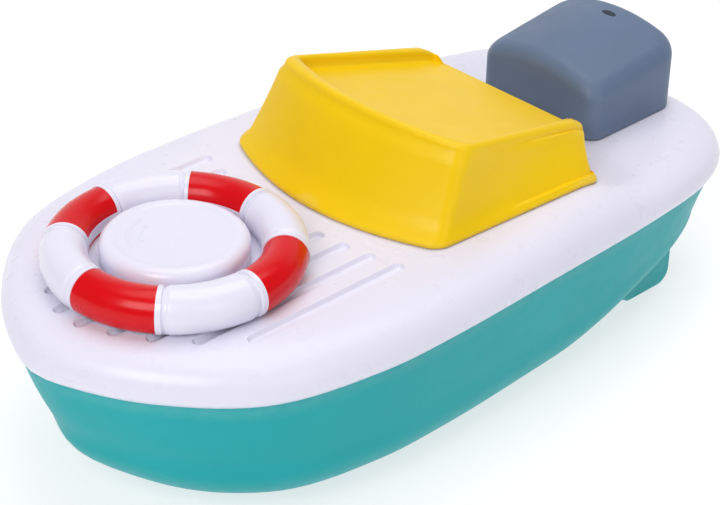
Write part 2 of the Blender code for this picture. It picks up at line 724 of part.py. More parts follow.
def make_cabin(yellow):
    """Open-bottomed shell whose roof plate lies inside a raised rim that is open at the back."""
    recess = CABIN_RECESS
    outer = [cabin_wall_ring(0.0, 0.0, CABIN_LIP), cabin_wall_ring(0.0, 0.0, CABIN_LIP, CABIN_LIP_HEIGHT),
             cabin_wall_ring(0.12, 0.0), cabin_wall_ring(0.5, 0.0),
             cabin_roof_ring(0.0, CABIN_ROUND, 0.0, recess - 0.0006),
             cabin_roof_ring(CABIN_ROUND * 0.35, CABIN_ROUND * 0.35, 0.0003, recess - CABIN_ROUND * 0.35),
             cabin_roof_ring(CABIN_ROUND, 0.0, 0.0006, recess),
             cabin_roof_ring(CABIN_RIM - 0.0012, 0.0, 0.0010, recess),
             cabin_roof_ring(CABIN_RIM, recess, 0.0014)]
    under = recess + CABIN_WALL
    inner = [cabin_roof_ring(CABIN_RIM, under), cabin_wall_ring(0.5, CABIN_WALL),
             cabin_wall_ring(0.12, CABIN_WALL), cabin_wall_ring(0.0, CABIN_WALL)]
    bm = bmesh.new()
    loft_into(bm, inner + outer)
    bmesh.ops.triangulate(bm, faces=bm.faces)
    cabin = add_object("cabin", bm, yellow)
    bm = bmesh.new()
    for x, y in cabin_screw_places():
        top = DECK_Z + roof_height(x) - under + CABIN_WALL / 2
        turned_into(bm, [(POST_RADIUS, deck_z(x) + 2 * GAP), (POST_RADIUS, top)], POST_SIDES, (x, y))
    boolean(cabin, add_object("cabin_posts", bm), "UNION")
    bm = bmesh.new()
    for x, y in cabin_screw_places():
        profile = [(SCREW_RADIUS + RUN, deck_z(x) - SCREW_PILOT_START),
                   (SCREW_RADIUS + RUN, deck_z(x) + CABIN_PILOT_DEPTH)]
        turned_into(bm, profile, SCREW_SIDES, (x, y))
    boolean(cabin, add_object("cabin_pilots", bm), "DIFFERENCE")


# ---------------------------------------------------------------- motor cowl

def cowl_roof(x, y):
    """Crowned roof that rises towards the stern."""
    share = (COWL_FRONT_X - x) / COWL_LENGTH
    rise = COWL_FRONT_HEIGHT + (COWL_TAIL_HEIGHT - COWL_FRONT_HEIGHT) * share
    return DECK_Z + rise - COWL_CROWN * (y / COWL_HALF) ** 2


def cowl_half(inset, corner_radius):
    """Plan of one end of the cowl from port to starboard, measured from its middle."""
    half = COWL_HALF - inset
    reach = COWL_LENGTH / 2 - inset
    corner = max(corner_radius - inset / 2, 0.001)
    points = [(0.0, half)]
    for i in range(4):
        angle = math.radians(90 - 30 * i)
        points.append((reach - corner + corner * math.cos(angle), half - corner + corner * math.sin(angle)))
    points += [(reach, (half - corner) * share) for share in (0.5, 0.0)]
    return points + [(x, -y) for x, y in reversed(points[:-1])]


def cowl_ring(inset, drop=0.0, foot=None):
    """Ring of the cowl that follows the roof, or the deck when foot is its height above that."""
    middle = (COWL_FRONT_X + COWL_BACK_X) / 2
    plan = cowl_half(inset, COWL_FRONT_ROUND)
    plan += [(-x, y) for x, y in reversed(cowl_half(inset, COWL_BACK_ROUND)[1:-1])]
    ring = []
    for x, y in plan:
        z = cowl_roof(middle + x, y) - drop if foot is None else deck_z(middle + x) + foot
        ring.append((middle + x, y, z))
    return ring


def make_cowl(slate):
    """Open-bottomed cover with a crowned roof, and two screw posts inside."""
    inner = [cowl_ring(COWL_WALL + 0.0050, COWL_WALL), cowl_ring(COWL_WALL + 0.0008, COWL_WALL + 0.0008),
             cowl_ring(COWL_WALL, COWL_WALL + 0.0030), cowl_ring(COWL_WALL, foot=GAP)]
    outer = [cowl_ring(0.0, foot=GAP)]
    for angle in (0, 30, 60, 90):
        turn = math.radians(angle)
        outer.append(cowl_ring(COWL_EDGE * (1 - math.cos(turn)), COWL_EDGE * (1 - math.sin(turn))))
    cowl = boat_loft("motor_cowl", inner + outer, slate)
    bm = bmesh.new()
    for x, y in cowl_screw_places():
        profile = [(POST_RADIUS, deck_z(x) + 2 * GAP), (POST_RADIUS, cowl_roof(x, y) - COWL_WALL / 2)]
        turned_into(bm, profile, POST_SIDES, (x, y))
    boolean(cowl, add_object("cowl_posts", bm), "UNION")
    bm = bmesh.new()
    for x, y in cowl_screw_places():
        profile = [(SCREW_RADIUS + RUN, deck_z(x) - SCREW_PILOT_START),
                   (SCREW_RADIUS + RUN, deck_z(x) + COWL_PILOT_DEPTH)]
        turned_into(bm, profile, SCREW_SIDES, (x, y))
    boolean(cowl, add_object("cowl_pilots", bm), "DIFFERENCE")


# ---------------------------------------------------------------- life ring

def on_ring_axis(item):
    item.location = (RING_X, 0.0, DECK_Z)
    return item


def make_life_ring(white):
    center = RING_RADIUS - TUBE_RADIUS
    profile = [(SCREW_RADIUS + GAP, WEB_BOTTOM), (center - 0.0042, WEB_BOTTOM),
               (center - 0.0030, RING_FLOAT),
               (center + 0.0036, RING_FLOAT)]
    for angle in (-35, -8, 20, 48, 76, 104, 132, 160, 188):
        turn = math.radians(angle)
        profile.append((center + TUBE_RADIUS * math.cos(turn), TUBE_CENTRE + TUBE_RADIUS * math.sin(turn)))
    profile += [(center - TUBE_RADIUS + 0.0006, WEB_TOP), (SOCKET_RADIUS, WEB_TOP),
                (SOCKET_RADIUS, SOCKET_TOP), (SCREW_RADIUS + GAP, SOCKET_TOP)]
    ring = on_ring_axis(turned_ring("life_ring", profile, 32, white))
    square = SHAFT_SQUARE / 2 + 0.0001
    socket = [(square, square), (-square, square), (-square, -square), (square, -square)]
    boolean(ring, on_ring_axis(plate("ring_socket", socket, [], -0.002, SOCKET_TOP - 0.0014)), "DIFFERENCE")


def make_ring_cap(white):
    """Dished cover over the ring's screw, resting on the web."""
    rim = WEB_TOP + GAP
    outer = [(CAP_RADIUS, rim)]
    for angle in (0, 30, 60, 90):
        turn = math.radians(angle)
        inset = CAP_ROUND * (1 - math.cos(turn))
        outer.append((CAP_RADIUS - inset, CAP_TOP - CAP_ROUND * (1 - math.sin(turn))))
    inner = [(CAP_RADIUS - CAP_ROUND, CAP_TOP - CAP_WALL), (CAP_RADIUS - CAP_WALL, CAP_TOP - CAP_ROUND),
             (CAP_RADIUS - CAP_WALL, rim)]
    on_ring_axis(turned("ring_cap", list(reversed(outer)) + list(reversed(inner)), 24, white))


def make_winding_shaft(steel):
    top = SOCKET_TOP - 0.0014 - GAP
    shoulder = WEB_BOTTOM - GAP
    foot = BOX_BOTTOM + BOX_FLOOR + 0.0006 - DECK_Z
    step = FOOT_BEARING_TOP + GAP - DECK_Z
    profile = [(SHAFT_FOOT_RADIUS, foot), (SHAFT_FOOT_RADIUS, step),
               (SHAFT_RADIUS, step), (SHAFT_RADIUS, shoulder)]
    shaft = on_ring_axis(turned("winding_shaft", profile, 20, steel))
    half = SHAFT_SQUARE / 2
    square = [(half, half), (-half, half), (-half, -half), (half, -half)]
    boolean(shaft, on_ring_axis(plate("shaft_square", square, [], shoulder - 0.002, top)), "UNION")
    pilot = turned("shaft_pilot", [(SCREW_RADIUS + RUN, top - 0.0062), (SCREW_RADIUS + RUN, top + 0.002)],
                   SCREW_SIDES, None)
    boolean(shaft, on_ring_axis(pilot), "DIFFERENCE")


def make_shaft_seal(rubber):
    """O-ring in the hub's gland, closing the hole round the winding shaft."""
    section = 0.0007
    center = SHAFT_RADIUS + RUN + section + 0.00002
    profile = []
    for i in range(6):
        angle = math.radians(60 * i)
        profile.append((center + section * math.cos(angle), -0.0051 + section * math.sin(angle)))
    on_ring_axis(turned_ring("shaft_seal", profile, 20, rubber))


# ---------------------------------------------------------------- screws

def screw(name, x, y, seat_z, length, direction, steel):
    """Pan-head screw. direction is +1 when its point is up and -1 when it is down."""
    profile = [(SCREW_HEAD_RADIUS * 0.7, -SCREW_HEAD_HEIGHT), (SCREW_HEAD_RADIUS, -SCREW_HEAD_HEIGHT * 0.5),
               (SCREW_HEAD_RADIUS, 0.0), (SCREW_RADIUS, 0.0), (SCREW_RADIUS, length - 0.0012),
               (SCREW_RADIUS * 0.3, length)]
    item = turned(name, profile, SCREW_SIDES, steel)
    item.location = (x, y, seat_z)
    if direction < 0:
        item.rotation_euler = (math.pi, 0.0, 0.0)
    return item


def make_screws(steel):
    for i, (x, y) in enumerate(post_places()):
        screw(f"hull_screw_{i + 1}", x, y, HULL_SEAT_Z - GAP, 0.0120, 1, steel)
    for i, (x, y) in enumerate(cabin_screw_places()):
        screw(f"cabin_screw_{i + 1}", x, y, deck_z(x) - DECK_WALL - 2 * GAP, 0.0080, 1, steel)
    for i, (x, y) in enumerate(cowl_screw_places()):
        screw(f"cowl_screw_{i + 1}", x, y, deck_z(x) - DECK_WALL - 2 * GAP, 0.0100, 1, steel)
    for i, (x, y) in enumerate(ear_places()):
        screw(f"gearbox_screw_{i + 1}", x, y, EAR_BOTTOM + EAR_THICK + GAP, 0.0075, -1, steel)
    for i, (x, y) in enumerate(lid_places()):
        screw(f"lid_screw_{i + 1}", x, y, BOX_TOP + GAP + LID_THICK + GAP, 0.0085, -1, steel)
    screw("ring_screw", RING_X, 0.0, DECK_Z + SOCKET_TOP + GAP, 0.0062, -1, steel)


# ---------------------------------------------------------------- gearbox

def ear_places():
    """Where the gearbox is screwed to the hull."""
    reach = BOX_RADIUS + 0.0030
    slant = reach * math.sqrt(0.5)
    return [(x, sign * y) for x, y in ((RING_X - 0.0134, reach), (CROWN_X - slant, slant))
            for sign in (1, -1)]


def lid_places():
    """Where the lid is screwed to the tray."""
    return [(x, sign * (BOX_RADIUS + 0.0014)) for x in (CROWN_X, RING_X - 0.0024) for sign in (1, -1)]


def box_outline(radius):
    """Two half circles joined by straight sides, round the first and last gear axes."""
    points = []
    for center, start in ((RING_X, -90), (CROWN_X, 90)):
        for i in range(11):
            angle = math.radians(start + 18 * i)
            points.append((center + radius * math.cos(angle), radius * math.sin(angle)))
    return points


def tray_bosses():
    bm = bmesh.new()
    for place in lid_places():
        turned_into(bm, [(LID_BOSS_RADIUS, BOX_BOTTOM), (LID_BOSS_RADIUS, BOX_TOP)], POST_SIDES, place)
    for x, y in ear_places():
        turned_into(bm, [(EAR_RADIUS, EAR_BOTTOM), (EAR_RADIUS, EAR_BOTTOM + EAR_THICK)], POST_SIDES, (x, y))
    return add_object("tray_bosses", bm)


def tray_bearings():
    """Foot bearing of the winding shaft, arbor seats and the shaft pinion's bearing post."""
    floor = BOX_BOTTOM + BOX_FLOOR
    bm = bmesh.new()
    turned_into(bm, [(0.0040, floor - 0.0006), (0.0040, FOOT_BEARING_TOP)], 16, (RING_X, 0.0))
    for x in (IDLER_X, CROWN_X):
        turned_into(bm, [(0.0022, floor - 0.0006), (0.0022, floor + 0.0016)], 12, (x, 0.0))
    post = [(CROWN_X - 0.0065, -0.0030), (CROWN_X - 0.0040, -0.0030), (CROWN_X - 0.0040, 0.0030),
            (CROWN_X - 0.0065, 0.0030)]
    loft_into(bm, [[(x, y, z) for x, y in post] for z in (floor - 0.0006, PROP_Z + 0.0022)])
    return add_object("tray_bearings", bm)


def tray_holes():
    bm = bmesh.new()
    bearing = SHAFT_FOOT_RADIUS + RUN
    profile = [(bearing, BOX_BOTTOM + BOX_FLOOR), (bearing, FOOT_BEARING_TOP + 0.001)]
    turned_into(bm, profile, 20, (RING_X, 0.0))
    for x in (IDLER_X, CROWN_X):
        profile = [(ARBOR_RADIUS + RUN, BOX_BOTTOM + 0.0008), (ARBOR_RADIUS + RUN, BOX_BOTTOM + 0.005)]
        turned_into(bm, profile, 12, (x, 0.0))
    for place in lid_places():
        profile = [(SCREW_RADIUS + RUN, BOX_TOP - LID_PILOT_DEPTH), (SCREW_RADIUS + RUN, BOX_TOP + 0.001)]
        turned_into(bm, profile, SCREW_SIDES, place)
    for place in ear_places():
        profile = [(SCREW_RADIUS + GAP, EAR_BOTTOM - 0.001), (SCREW_RADIUS + GAP, EAR_BOTTOM + 0.004)]
        turned_into(bm, profile, SCREW_SIDES, place)
    return add_object("tray_holes", bm)


def make_gearbox(ivory):
    tray = plate("gearbox_tray", box_outline(BOX_RADIUS), [], BOX_BOTTOM, BOX_TOP, ivory)
    boolean(tray, tray_bosses(), "UNION")
    inside = plate("tray_inside", box_outline(BOX_RADIUS - BOX_WALL), [],
                   BOX_BOTTOM + BOX_FLOOR, BOX_TOP + 0.002)
    boolean(tray, inside, "DIFFERENCE")
    boolean(tray, tray_bearings(), "UNION")
    boolean(tray, tray_holes(), "DIFFERENCE")
    front = CROWN_X - 0.0030
    back = CROWN_X - BOX_RADIUS - 0.002
    profile = [(PROP_SHAFT_RADIUS + RUN, back - front), (PROP_SHAFT_RADIUS + RUN, 0.0)]
    hole = turned("shaft_way", profile, 16, None)
    lay_along_x(hole, front, PROP_Z)
    boolean(tray, hole, "DIFFERENCE")

    low = BOX_TOP + GAP
    holes = [flat_circle(SHAFT_RADIUS + RUN, 20, (RING_X, 0.0))]
    holes += [flat_circle(ARBOR_RADIUS + RUN, 12, (x, 0.0)) for x in (IDLER_X, CROWN_X)]
    lid = plate("gearbox_lid", box_outline(BOX_RADIUS), holes, low, low + LID_THICK, ivory)
    bm = bmesh.new()
    for place in lid_places():
        turned_into(bm, [(LID_BOSS_RADIUS, low), (LID_BOSS_RADIUS, low + LID_THICK)], POST_SIDES, place)
    boolean(lid, add_object("lid_ears", bm), "UNION")
    bm = bmesh.new()
    for place in lid_places():
        profile = [(SCREW_RADIUS + GAP, low - 0.001), (SCREW_RADIUS + GAP, low + 0.004)]
        turned_into(bm, profile, SCREW_SIDES, place)
    boolean(lid, add_object("lid_holes", bm), "DIFFERENCE")


# ---------------------------------------------------------------- gears

def gear_outline(teeth, phase, center=(0.0, 0.0)):
    """Straight-flanked teeth, with a tooth centred on the +X side when phase is 0."""
    pitch_radius = TOOTH_MODULE * teeth / 2
    tip = pitch_radius + 0.85 * TOOTH_MODULE
    root = pitch_radius - 1.15 * TOOTH_MODULE
    half_tip = 0.38 * TOOTH_MODULE / tip
    half_root = 1.10 * TOOTH_MODULE / root
    points = []
    for i in range(teeth):
        middle = 2 * math.pi * (i + phase) / teeth
        for radius, offset in ((root, -half_root), (tip, -half_tip), (tip, half_tip), (root, half_root)):
            angle = middle + offset
            points.append((center[0] + radius * math.cos(angle), center[1] + radius * math.sin(angle)))
    return points


def place_gear(item, x):
    item.location = (x, 0.0, 0.0)
    return item


def make_great_wheel(blue):
    """Wheel on the winding shaft, with a saw-toothed ratchet ring on its underside."""
    bore = [flat_circle(SHAFT_RADIUS + 2 * RUN, 20)]
    wheel = plate("great_wheel", gear_outline(BIG_TEETH, 0.0), bore, GREAT_WHEEL_Z,
                  GREAT_WHEEL_Z + GREAT_WHEEL_THICK, blue)
    place_gear(wheel, RING_X)
    saw = []
    for i in range(SAW_TEETH):
        for radius, step in ((SAW_OUTER, 0.02), (SAW_INNER, 0.92)):
            angle = 2 * math.pi * (i + step) / SAW_TEETH
            saw.append((radius * math.cos(angle), radius * math.sin(angle)))
    rim = plate("ratchet_rim", flat_circle(RATCHET_RIM, 32), [saw],
                GREAT_WHEEL_Z - RATCHET_HEIGHT, GREAT_WHEEL_Z + 0.0005)
    boolean(wheel, place_gear(rim, RING_X), "UNION")


def make_ratchet_disc(steel):
    """Driver on the winding shaft with two springy arms that click in the ratchet ring."""
    arms = []
    for base in (0.0, math.pi):
        for radius, degrees in RATCHET_ARM:
            angle = base + math.radians(degrees)
            arms.append((radius * math.cos(angle), radius * math.sin(angle)))
    disc = plate("ratchet_disc", arms, [flat_circle(SHAFT_RADIUS + 2 * RUN, 20)], GREAT_WHEEL_Z - 0.0022,
                 GREAT_WHEEL_Z - GAP, steel)
    place_gear(disc, RING_X)


def make_idler_gear(blue):
    bore = [flat_circle(ARBOR_RADIUS + RUN, 12)]
    top = IDLER_WHEEL_Z + IDLER_WHEEL_THICK
    wheel = plate("idler_gear", gear_outline(BIG_TEETH, 0.0), bore, IDLER_WHEEL_Z, top, blue)
    place_gear(wheel, IDLER_X)
    pinion = plate("idler_pinion", gear_outline(PINION_TEETH, 0.5), bore,
                   GREAT_WHEEL_Z - GAP, IDLER_WHEEL_Z + 0.0005)
    boolean(wheel, place_gear(pinion, IDLER_X), "UNION")


def crown_teeth():
    """Face teeth that stand down from the crown wheel's rim."""
    inner = CROWN_RADIUS - CROWN_FACE / 2
    outer = CROWN_RADIUS + CROWN_FACE / 2
    bm = bmesh.new()
    for i in range(CROWN_TEETH):
        middle = 2 * math.pi * i / CROWN_TEETH
        rings = []
        for z, half_width in ((CROWN_Z - 1.85 * TOOTH_MODULE, 0.34), (CROWN_Z + 0.0004, 0.86)):
            corners = []
            for radius, side in ((inner, -1), (outer, -1), (outer, 1), (inner, 1)):
                angle = middle + side * half_width * TOOTH_MODULE / CROWN_RADIUS
                corners.append((radius * math.cos(angle), radius * math.sin(angle), z))
            rings.append(corners)
        loft_into(bm, rings)
    return add_object("crown_teeth", bm)


def make_crown_gear(blue):
    """Second wheel: a pinion above and a toothed face below."""
    bore = [flat_circle(ARBOR_RADIUS + RUN, 12)]
    rim = flat_circle(CROWN_RADIUS + CROWN_FACE / 2 + 0.0003, 32)
    crown = plate("crown_gear", rim, bore, CROWN_Z, CROWN_Z + CROWN_THICK, blue)
    place_gear(crown, CROWN_X)
    pinion = plate("crown_pinion", gear_outline(PINION_TEETH, 0.5), bore, CROWN_Z + 0.001,
                   IDLER_WHEEL_Z + IDLER_WHEEL_THICK + GAP)
    boolean(crown, place_gear(pinion, CROWN_X), "UNION")
    boolean(crown, place_gear(crown_teeth(), CROWN_X), "UNION")


def make_arbors(steel):
    low = BOX_BOTTOM + 0.0008 + GAP
    high = BOX_TOP + GAP + LID_THICK - GAP
    for name, x in (("idler_arbor", IDLER_X), ("crown_arbor", CROWN_X)):
        turned(name, [(ARBOR_RADIUS, low), (ARBOR_RADIUS, high)], 12, steel, (x, 0.0))


def make_mainspring(steel):
    """Flat spiral of steel strip round the winding shaft."""
    inner = SHAFT_RADIUS + 0.0007
    outer = BOX_RADIUS - BOX_WALL - 0.0022
    steps = SPRING_TURNS * 12
    bm = bmesh.new()
    rings = []
    for i in range(steps + 1):
        angle = 2 * math.pi * i / 12
        radius = inner + (outer - inner) * i / steps
        corners = []
        for r, z in ((radius, 0.0), (radius + SPRING_STRIP, 0.0), (radius + SPRING_STRIP, SPRING_HEIGHT),
                     (radius, SPRING_HEIGHT)):
            corners.append((RING_X + r * math.cos(angle), r * math.sin(angle), SPRING_BOTTOM + z))
        rings.append(corners)
    loft_into(bm, rings)
    add_object("mainspring", bm, steel)


# ---------------------------------------------------------------- propeller drive

def make_prop_shaft(steel, brass, rubber, blue):
    front = CROWN_X - 0.0038
    back = TUNNEL_X - PROP_BEHIND_WALL - PROP_HUB_LENGTH + 0.0020
    profile = [(PROP_SHAFT_RADIUS, back - front), (PROP_SHAFT_RADIUS, 0.0)]
    shaft = turned("propeller_shaft", profile, 16, steel)
    lay_along_x(shaft, front, PROP_Z)

    width = CROWN_FACE
    teeth = gear_outline(SHAFT_PINION_TEETH, 0.5)
    bore = [flat_circle(PROP_SHAFT_RADIUS + RUN, 12)]
    pinion = plate("shaft_pinion", teeth, bore, -width / 2, width / 2, blue)
    lay_along_x(pinion, CROWN_X - CROWN_RADIUS, PROP_Z)

    inner = PROP_SHAFT_RADIUS + RUN
    flange = STERN_TUBE_RADIUS + 0.0020
    reach = STERN_TUBE_LENGTH / 2
    seat = HULL_WALL + GAP
    profile = [(inner, -reach + 0.004), (STERN_TUBE_RADIUS, -reach + 0.004), (STERN_TUBE_RADIUS, seat),
               (flange, seat), (flange, seat + 0.0015), (STERN_TUBE_RADIUS, seat + 0.0015),
               (STERN_TUBE_RADIUS, reach + 0.004), (inner, reach + 0.004)]
    tube = turned_ring("stern_tube", profile, 20, brass)
    lay_along_x(tube, TUNNEL_X, PROP_Z)

    low = reach + 0.004 + GAP
    high = low + 0.0022
    profile = [(inner, low), (STERN_TUBE_RADIUS, low), (STERN_TUBE_RADIUS - 0.0006, high), (inner, high)]
    seal = turned_ring("stern_seal", profile, 20, rubber)
    lay_along_x(seal, TUNNEL_X, PROP_Z)


def blade(bm, turn):
    """One twisted blade about Z, from inside the hub to the propeller's tip."""
    rings = []
    root = PROP_HUB_RADIUS * 0.75
    spin = Matrix.Rotation(turn, 3, "Z")
    for share, chord, pitch_deg in BLADE_SECTIONS:
        radius = root + (PROP_RADIUS - root) * share
        tilt = Matrix.Rotation(math.radians(pitch_deg), 3, "X")
        corners = []
        for y, z in ((-chord, -0.0005), (chord, -0.0005), (chord, 0.0005), (-chord, 0.0005)):
            corners.append(spin @ (Vector((radius, 0.0, 0.0)) + tilt @ Vector((0.0, y, z))))
        rings.append(corners)
    loft_into(bm, rings)


def make_propeller(white):
    """Three-bladed propeller with a rounded boss, blind-bored for its shaft."""
    length = PROP_HUB_LENGTH
    profile = [(PROP_HUB_RADIUS * 0.45, -length), (PROP_HUB_RADIUS * 0.85, -length + 0.0012),
               (PROP_HUB_RADIUS, -length + 0.0028), (PROP_HUB_RADIUS, -0.0004),
               (PROP_HUB_RADIUS - 0.0004, 0.0)]
    hub = turned("propeller", profile, 20, white)
    bm = bmesh.new()
    for i in range(3):
        blade(bm, 2 * math.pi * i / 3)
    bmesh.ops.translate(bm, vec=(0, 0, -length * 0.5), verts=bm.verts)
    blades = add_object("propeller_blades", bm)
    profile = [(PROP_SHAFT_RADIUS + RUN, -length + 0.0020 - GAP), (PROP_SHAFT_RADIUS + RUN, 0.002)]
    bore = turned("propeller_bore", profile, 12, None)
    for item in (hub, blades, bore):
        lay_along_x(item, TUNNEL_X - PROP_BEHIND_WALL, PROP_Z)
    boolean(hub, blades, "UNION")
    boolean(hub, bore, "DIFFERENCE")


# ---------------------------------------------------------------- assembly

def build():
    clear_scene()
    white = plastic("white_plastic", (0.80, 0.79, 0.86), 0.28)
    teal = plastic("teal_plastic", (0.05, 0.38, 0.40), 0.38)
    yellow = plastic("yellow_plastic", (0.85, 0.58, 0.02), 0.38)
    slate = plastic("slate_plastic", (0.13, 0.18, 0.27), 0.45)
    ivory = plastic("ivory_plastic", (0.70, 0.68, 0.60), 0.45)
    blue = plastic("gear_plastic", (0.10, 0.25, 0.60), 0.40)
    steel = plastic("steel", (0.60, 0.60, 0.62), 0.30, 1.0)
    brass = plastic("brass", (0.70, 0.50, 0.20), 0.30, 1.0)
    rubber = plastic("rubber", (0.03, 0.03, 0.03), 0.80)
    make_hull(teal)
    make_rim_seal(rubber)
    make_deck(white)
    make_cabin(yellow)
    make_cowl(slate)
    make_life_ring(white)
    make_ring_cap(white)
    make_winding_shaft(steel)
    make_shaft_seal(rubber)
    make_gearbox(ivory)
    make_great_wheel(blue)
    make_ratchet_disc(steel)
    make_idler_gear(blue)
    make_crown_gear(blue)
    make_arbors(steel)
    make_mainspring(steel)
    make_prop_shaft(steel, brass, rubber, blue)
    make_propeller(white)
    make_screws(steel)


build()
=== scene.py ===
"""Looks of the wind-up bath boat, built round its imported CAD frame.

Units are metres, +X to the bow, +Y to port, +Z up. The shells are rebuilt here with
finer lines on the CAD's own sizes; every other CAD node keeps its shape.
"""
import math

import bmesh
import bpy
from mathutils import Matrix, Vector


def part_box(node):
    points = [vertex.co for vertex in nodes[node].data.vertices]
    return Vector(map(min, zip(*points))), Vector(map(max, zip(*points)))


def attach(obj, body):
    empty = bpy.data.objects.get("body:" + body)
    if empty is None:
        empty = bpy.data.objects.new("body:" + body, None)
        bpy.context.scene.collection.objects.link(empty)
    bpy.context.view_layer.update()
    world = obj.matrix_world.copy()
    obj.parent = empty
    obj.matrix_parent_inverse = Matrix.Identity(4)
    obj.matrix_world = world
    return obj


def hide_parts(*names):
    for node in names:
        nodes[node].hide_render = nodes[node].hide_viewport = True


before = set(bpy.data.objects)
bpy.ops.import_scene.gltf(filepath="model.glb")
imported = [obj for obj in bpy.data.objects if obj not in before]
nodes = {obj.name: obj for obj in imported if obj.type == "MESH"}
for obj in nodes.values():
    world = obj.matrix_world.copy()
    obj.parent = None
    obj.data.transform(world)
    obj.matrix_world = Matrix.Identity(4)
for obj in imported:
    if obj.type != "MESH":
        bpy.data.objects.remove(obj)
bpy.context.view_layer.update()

# Sizes shared with the CAD
LENGTH = 0.230
BEAM = 0.1184
DECK_Z = 0.0553
EDGE_DROP = 0.0058
DECK_DROP = 0.0050
STEP_UNDER_CABIN = 0.0080
LEVEL_FROM_BOW = 0.0895
GAP = 0.0003
OUTLINE = [(1.0, 0.0), (0.970, 0.211), (0.881, 0.517), (0.702, 0.847), (0.446, 0.980),
           (0.222, 1.0), (-0.150, 0.968), (-0.523, 0.910), (-0.760, 0.826), (-0.896, 0.689),
           (-0.978, 0.470), (-1.0, 0.0)]
HALF_POINTS = 72
HULL_WALL = 0.0020
HULL_FLOOR = 0.0024
HULL_TOP_DROP = 0.0132
HULL_TOP_INSET = 0.0021
BILGE_INSET = 0.0066
BILGE_HEIGHT = 0.0182
BILGE_DEPTH = 0.0200
STERN_RISE = 0.0115
STERN_RISE_START = 0.0870
STERN_RISE_LENGTH = 0.0670
BOW_RISE = 0.0050
BOW_RISE_START = 0.0350
BOW_RISE_LENGTH = 0.0300
MIDDLE_SAG = 0.5
BOW_RAKE = 1.60
STERN_RAKE = 0.75
KEEL_Y = 0.0340
KEEL_THICK = 0.0030
KEEL_AFT = 0.0231
KEEL_LENGTH = 0.0280
KEEL_RADIUS = 0.0045
KEEL_TOP = 0.0160
KEEL_SLOPE = 0.010          # length of the slope at the keel's front
KEEL_NOSE = 0.0060          # height where that slope ends
KEEL_EDGE = 0.0007          # rounding of the keel's long edges
TUNNEL_HALF = 0.0120
TUNNEL_FLANK = 0.0110
TUNNEL_FRONT = 0.0530
DECK_WALL = 0.0022
RIM_PROFILE = [(0.0016, -0.0120), (0.0003, -0.0104), (0.0, -0.0082), (0.0007, -0.0057), (0.0024, -0.0034),
               (0.0052, -0.0016), (0.0092, -0.0004), (0.0140, 0.0)]
DECK_INNER = [(RIM_PROFILE[0][0] + DECK_WALL, -0.0120), (DECK_WALL, -0.0082), (0.0052, -0.0042),
              (0.0140, -DECK_WALL)]
GROOVE_PITCH = 0.0084
GROOVE_COUNT = 10
GROOVE_WIDTH = 0.0034
GROOVE_DEPTH = 0.0013
GROOVE_BOW_INSET = 0.0105
GROOVE_SIDE_INSET = 0.0125
GROOVE_CABIN_GAP = 0.0070
GROOVE_ARC = 0.0062
GROOVE_SECTION = [(-0.0010, -GROOVE_DEPTH), (-0.0005, -GROOVE_DEPTH * 0.85), (-0.0002, -GROOVE_DEPTH * 0.5),
                  (0.0001, 0.0), (0.0001, 0.002)]   # how far each ring widens, and its height
RING_FROM_BOW = 0.0466
RING_RADIUS = 0.0343
TUBE_RADIUS = 0.0062
TUBE_CENTRE = 0.0053
RING_FLOAT = 0.0006
WEB_BOTTOM = 0.0010
WEB_TOP = 0.0028
SOCKET_RADIUS = 0.0060
SOCKET_TOP = 0.0056
CAP_RADIUS = 0.0193
CAP_TOP = 0.0099
CAP_WALL = 0.0016
CAP_ROUND = 0.0028
ARROW_FOOT = 0.0004         # arrows' foot and crest below the cap's rim
ARROW_DROP = 0.00018
CAP_DISH = 0.0003           # depth of the dish in the cap's top
CABIN_FROM_RING = 0.0457
CABIN_LENGTH = 0.0690
CABIN_HALF = 0.0418
CABIN_ARC = 0.0118
CABIN_CORNER = 0.0055
CABIN_TAIL_CORNER = 0.0028
CABIN_TOP_BACK = 0.0150
CABIN_TOP_HALF = 0.0371
CABIN_TOP_ARC = 0.0075
CABIN_TAIL_HALF = 0.0312
CABIN_TAIL_OVER = 0.0068
CABIN_FRONT_HEIGHT = 0.0262
CABIN_TAIL_HEIGHT = 0.0116
CABIN_LIP = 0.0009
CABIN_LIP_HEIGHT = 0.0014
CABIN_WALL = 0.0020
CABIN_RIM = 0.0058
CABIN_RECESS = 0.0036
CABIN_ROUND = 0.0022
CABIN_BULGE = 0.0007        # how far the cabin's walls belly out halfway up
CREST = 0.0014              # rounding of the roof rim's inner edge
CREST_INSET = 0.0016
FOOT_ROUND = 0.0003
COWL_FROM_STERN = 0.0105
COWL_LENGTH = 0.0379
COWL_HALF = 0.0223
COWL_FRONT_HEIGHT = 0.0150
COWL_TAIL_HEIGHT = 0.0198
COWL_CROWN = 0.0046
COWL_FRONT_ROUND = 0.0046
COWL_BACK_ROUND = 0.0070
COWL_EDGE = 0.0042
COWL_WALL = 0.0020
SCREW_HOLE = 0.0029
HULL_POST_RADIUS = 0.0042
HULL_SEAT_Z = 0.0140
HULL_POST_TOP = 0.0180
DECK_POST_RADIUS = 0.0036
DECK_PILOT_RADIUS = 0.00135
DECK_PILOT_DEPTH = 0.0095
SCREW_SHANK_HOLE = 0.0016
HUB_RADIUS = 0.0090
HUB_RISE = 0.0004
HUB_NECK_RADIUS = 0.0062
HUB_DEPTH = 0.0080
SHAFT_HOLE = 0.0034
GLAND_RADIUS = 0.0046
GLAND_TOP = 0.0040          # below the deck plane
GLAND_FOOT = 0.0062
TUBE_HOLE = 0.0033
CABIN_SCREW_Y = 0.028
CABIN_SCREW_FORE = 0.0287   # from the windscreen's foot
CABIN_SCREW_AFT = 0.0100    # from the cabin's back
COWL_SCREW_INSET = 0.0085
HULL_POSTS = [(0.0380, 0.0250), (-0.0300, 0.0250), (-0.0780, 0.0195)]

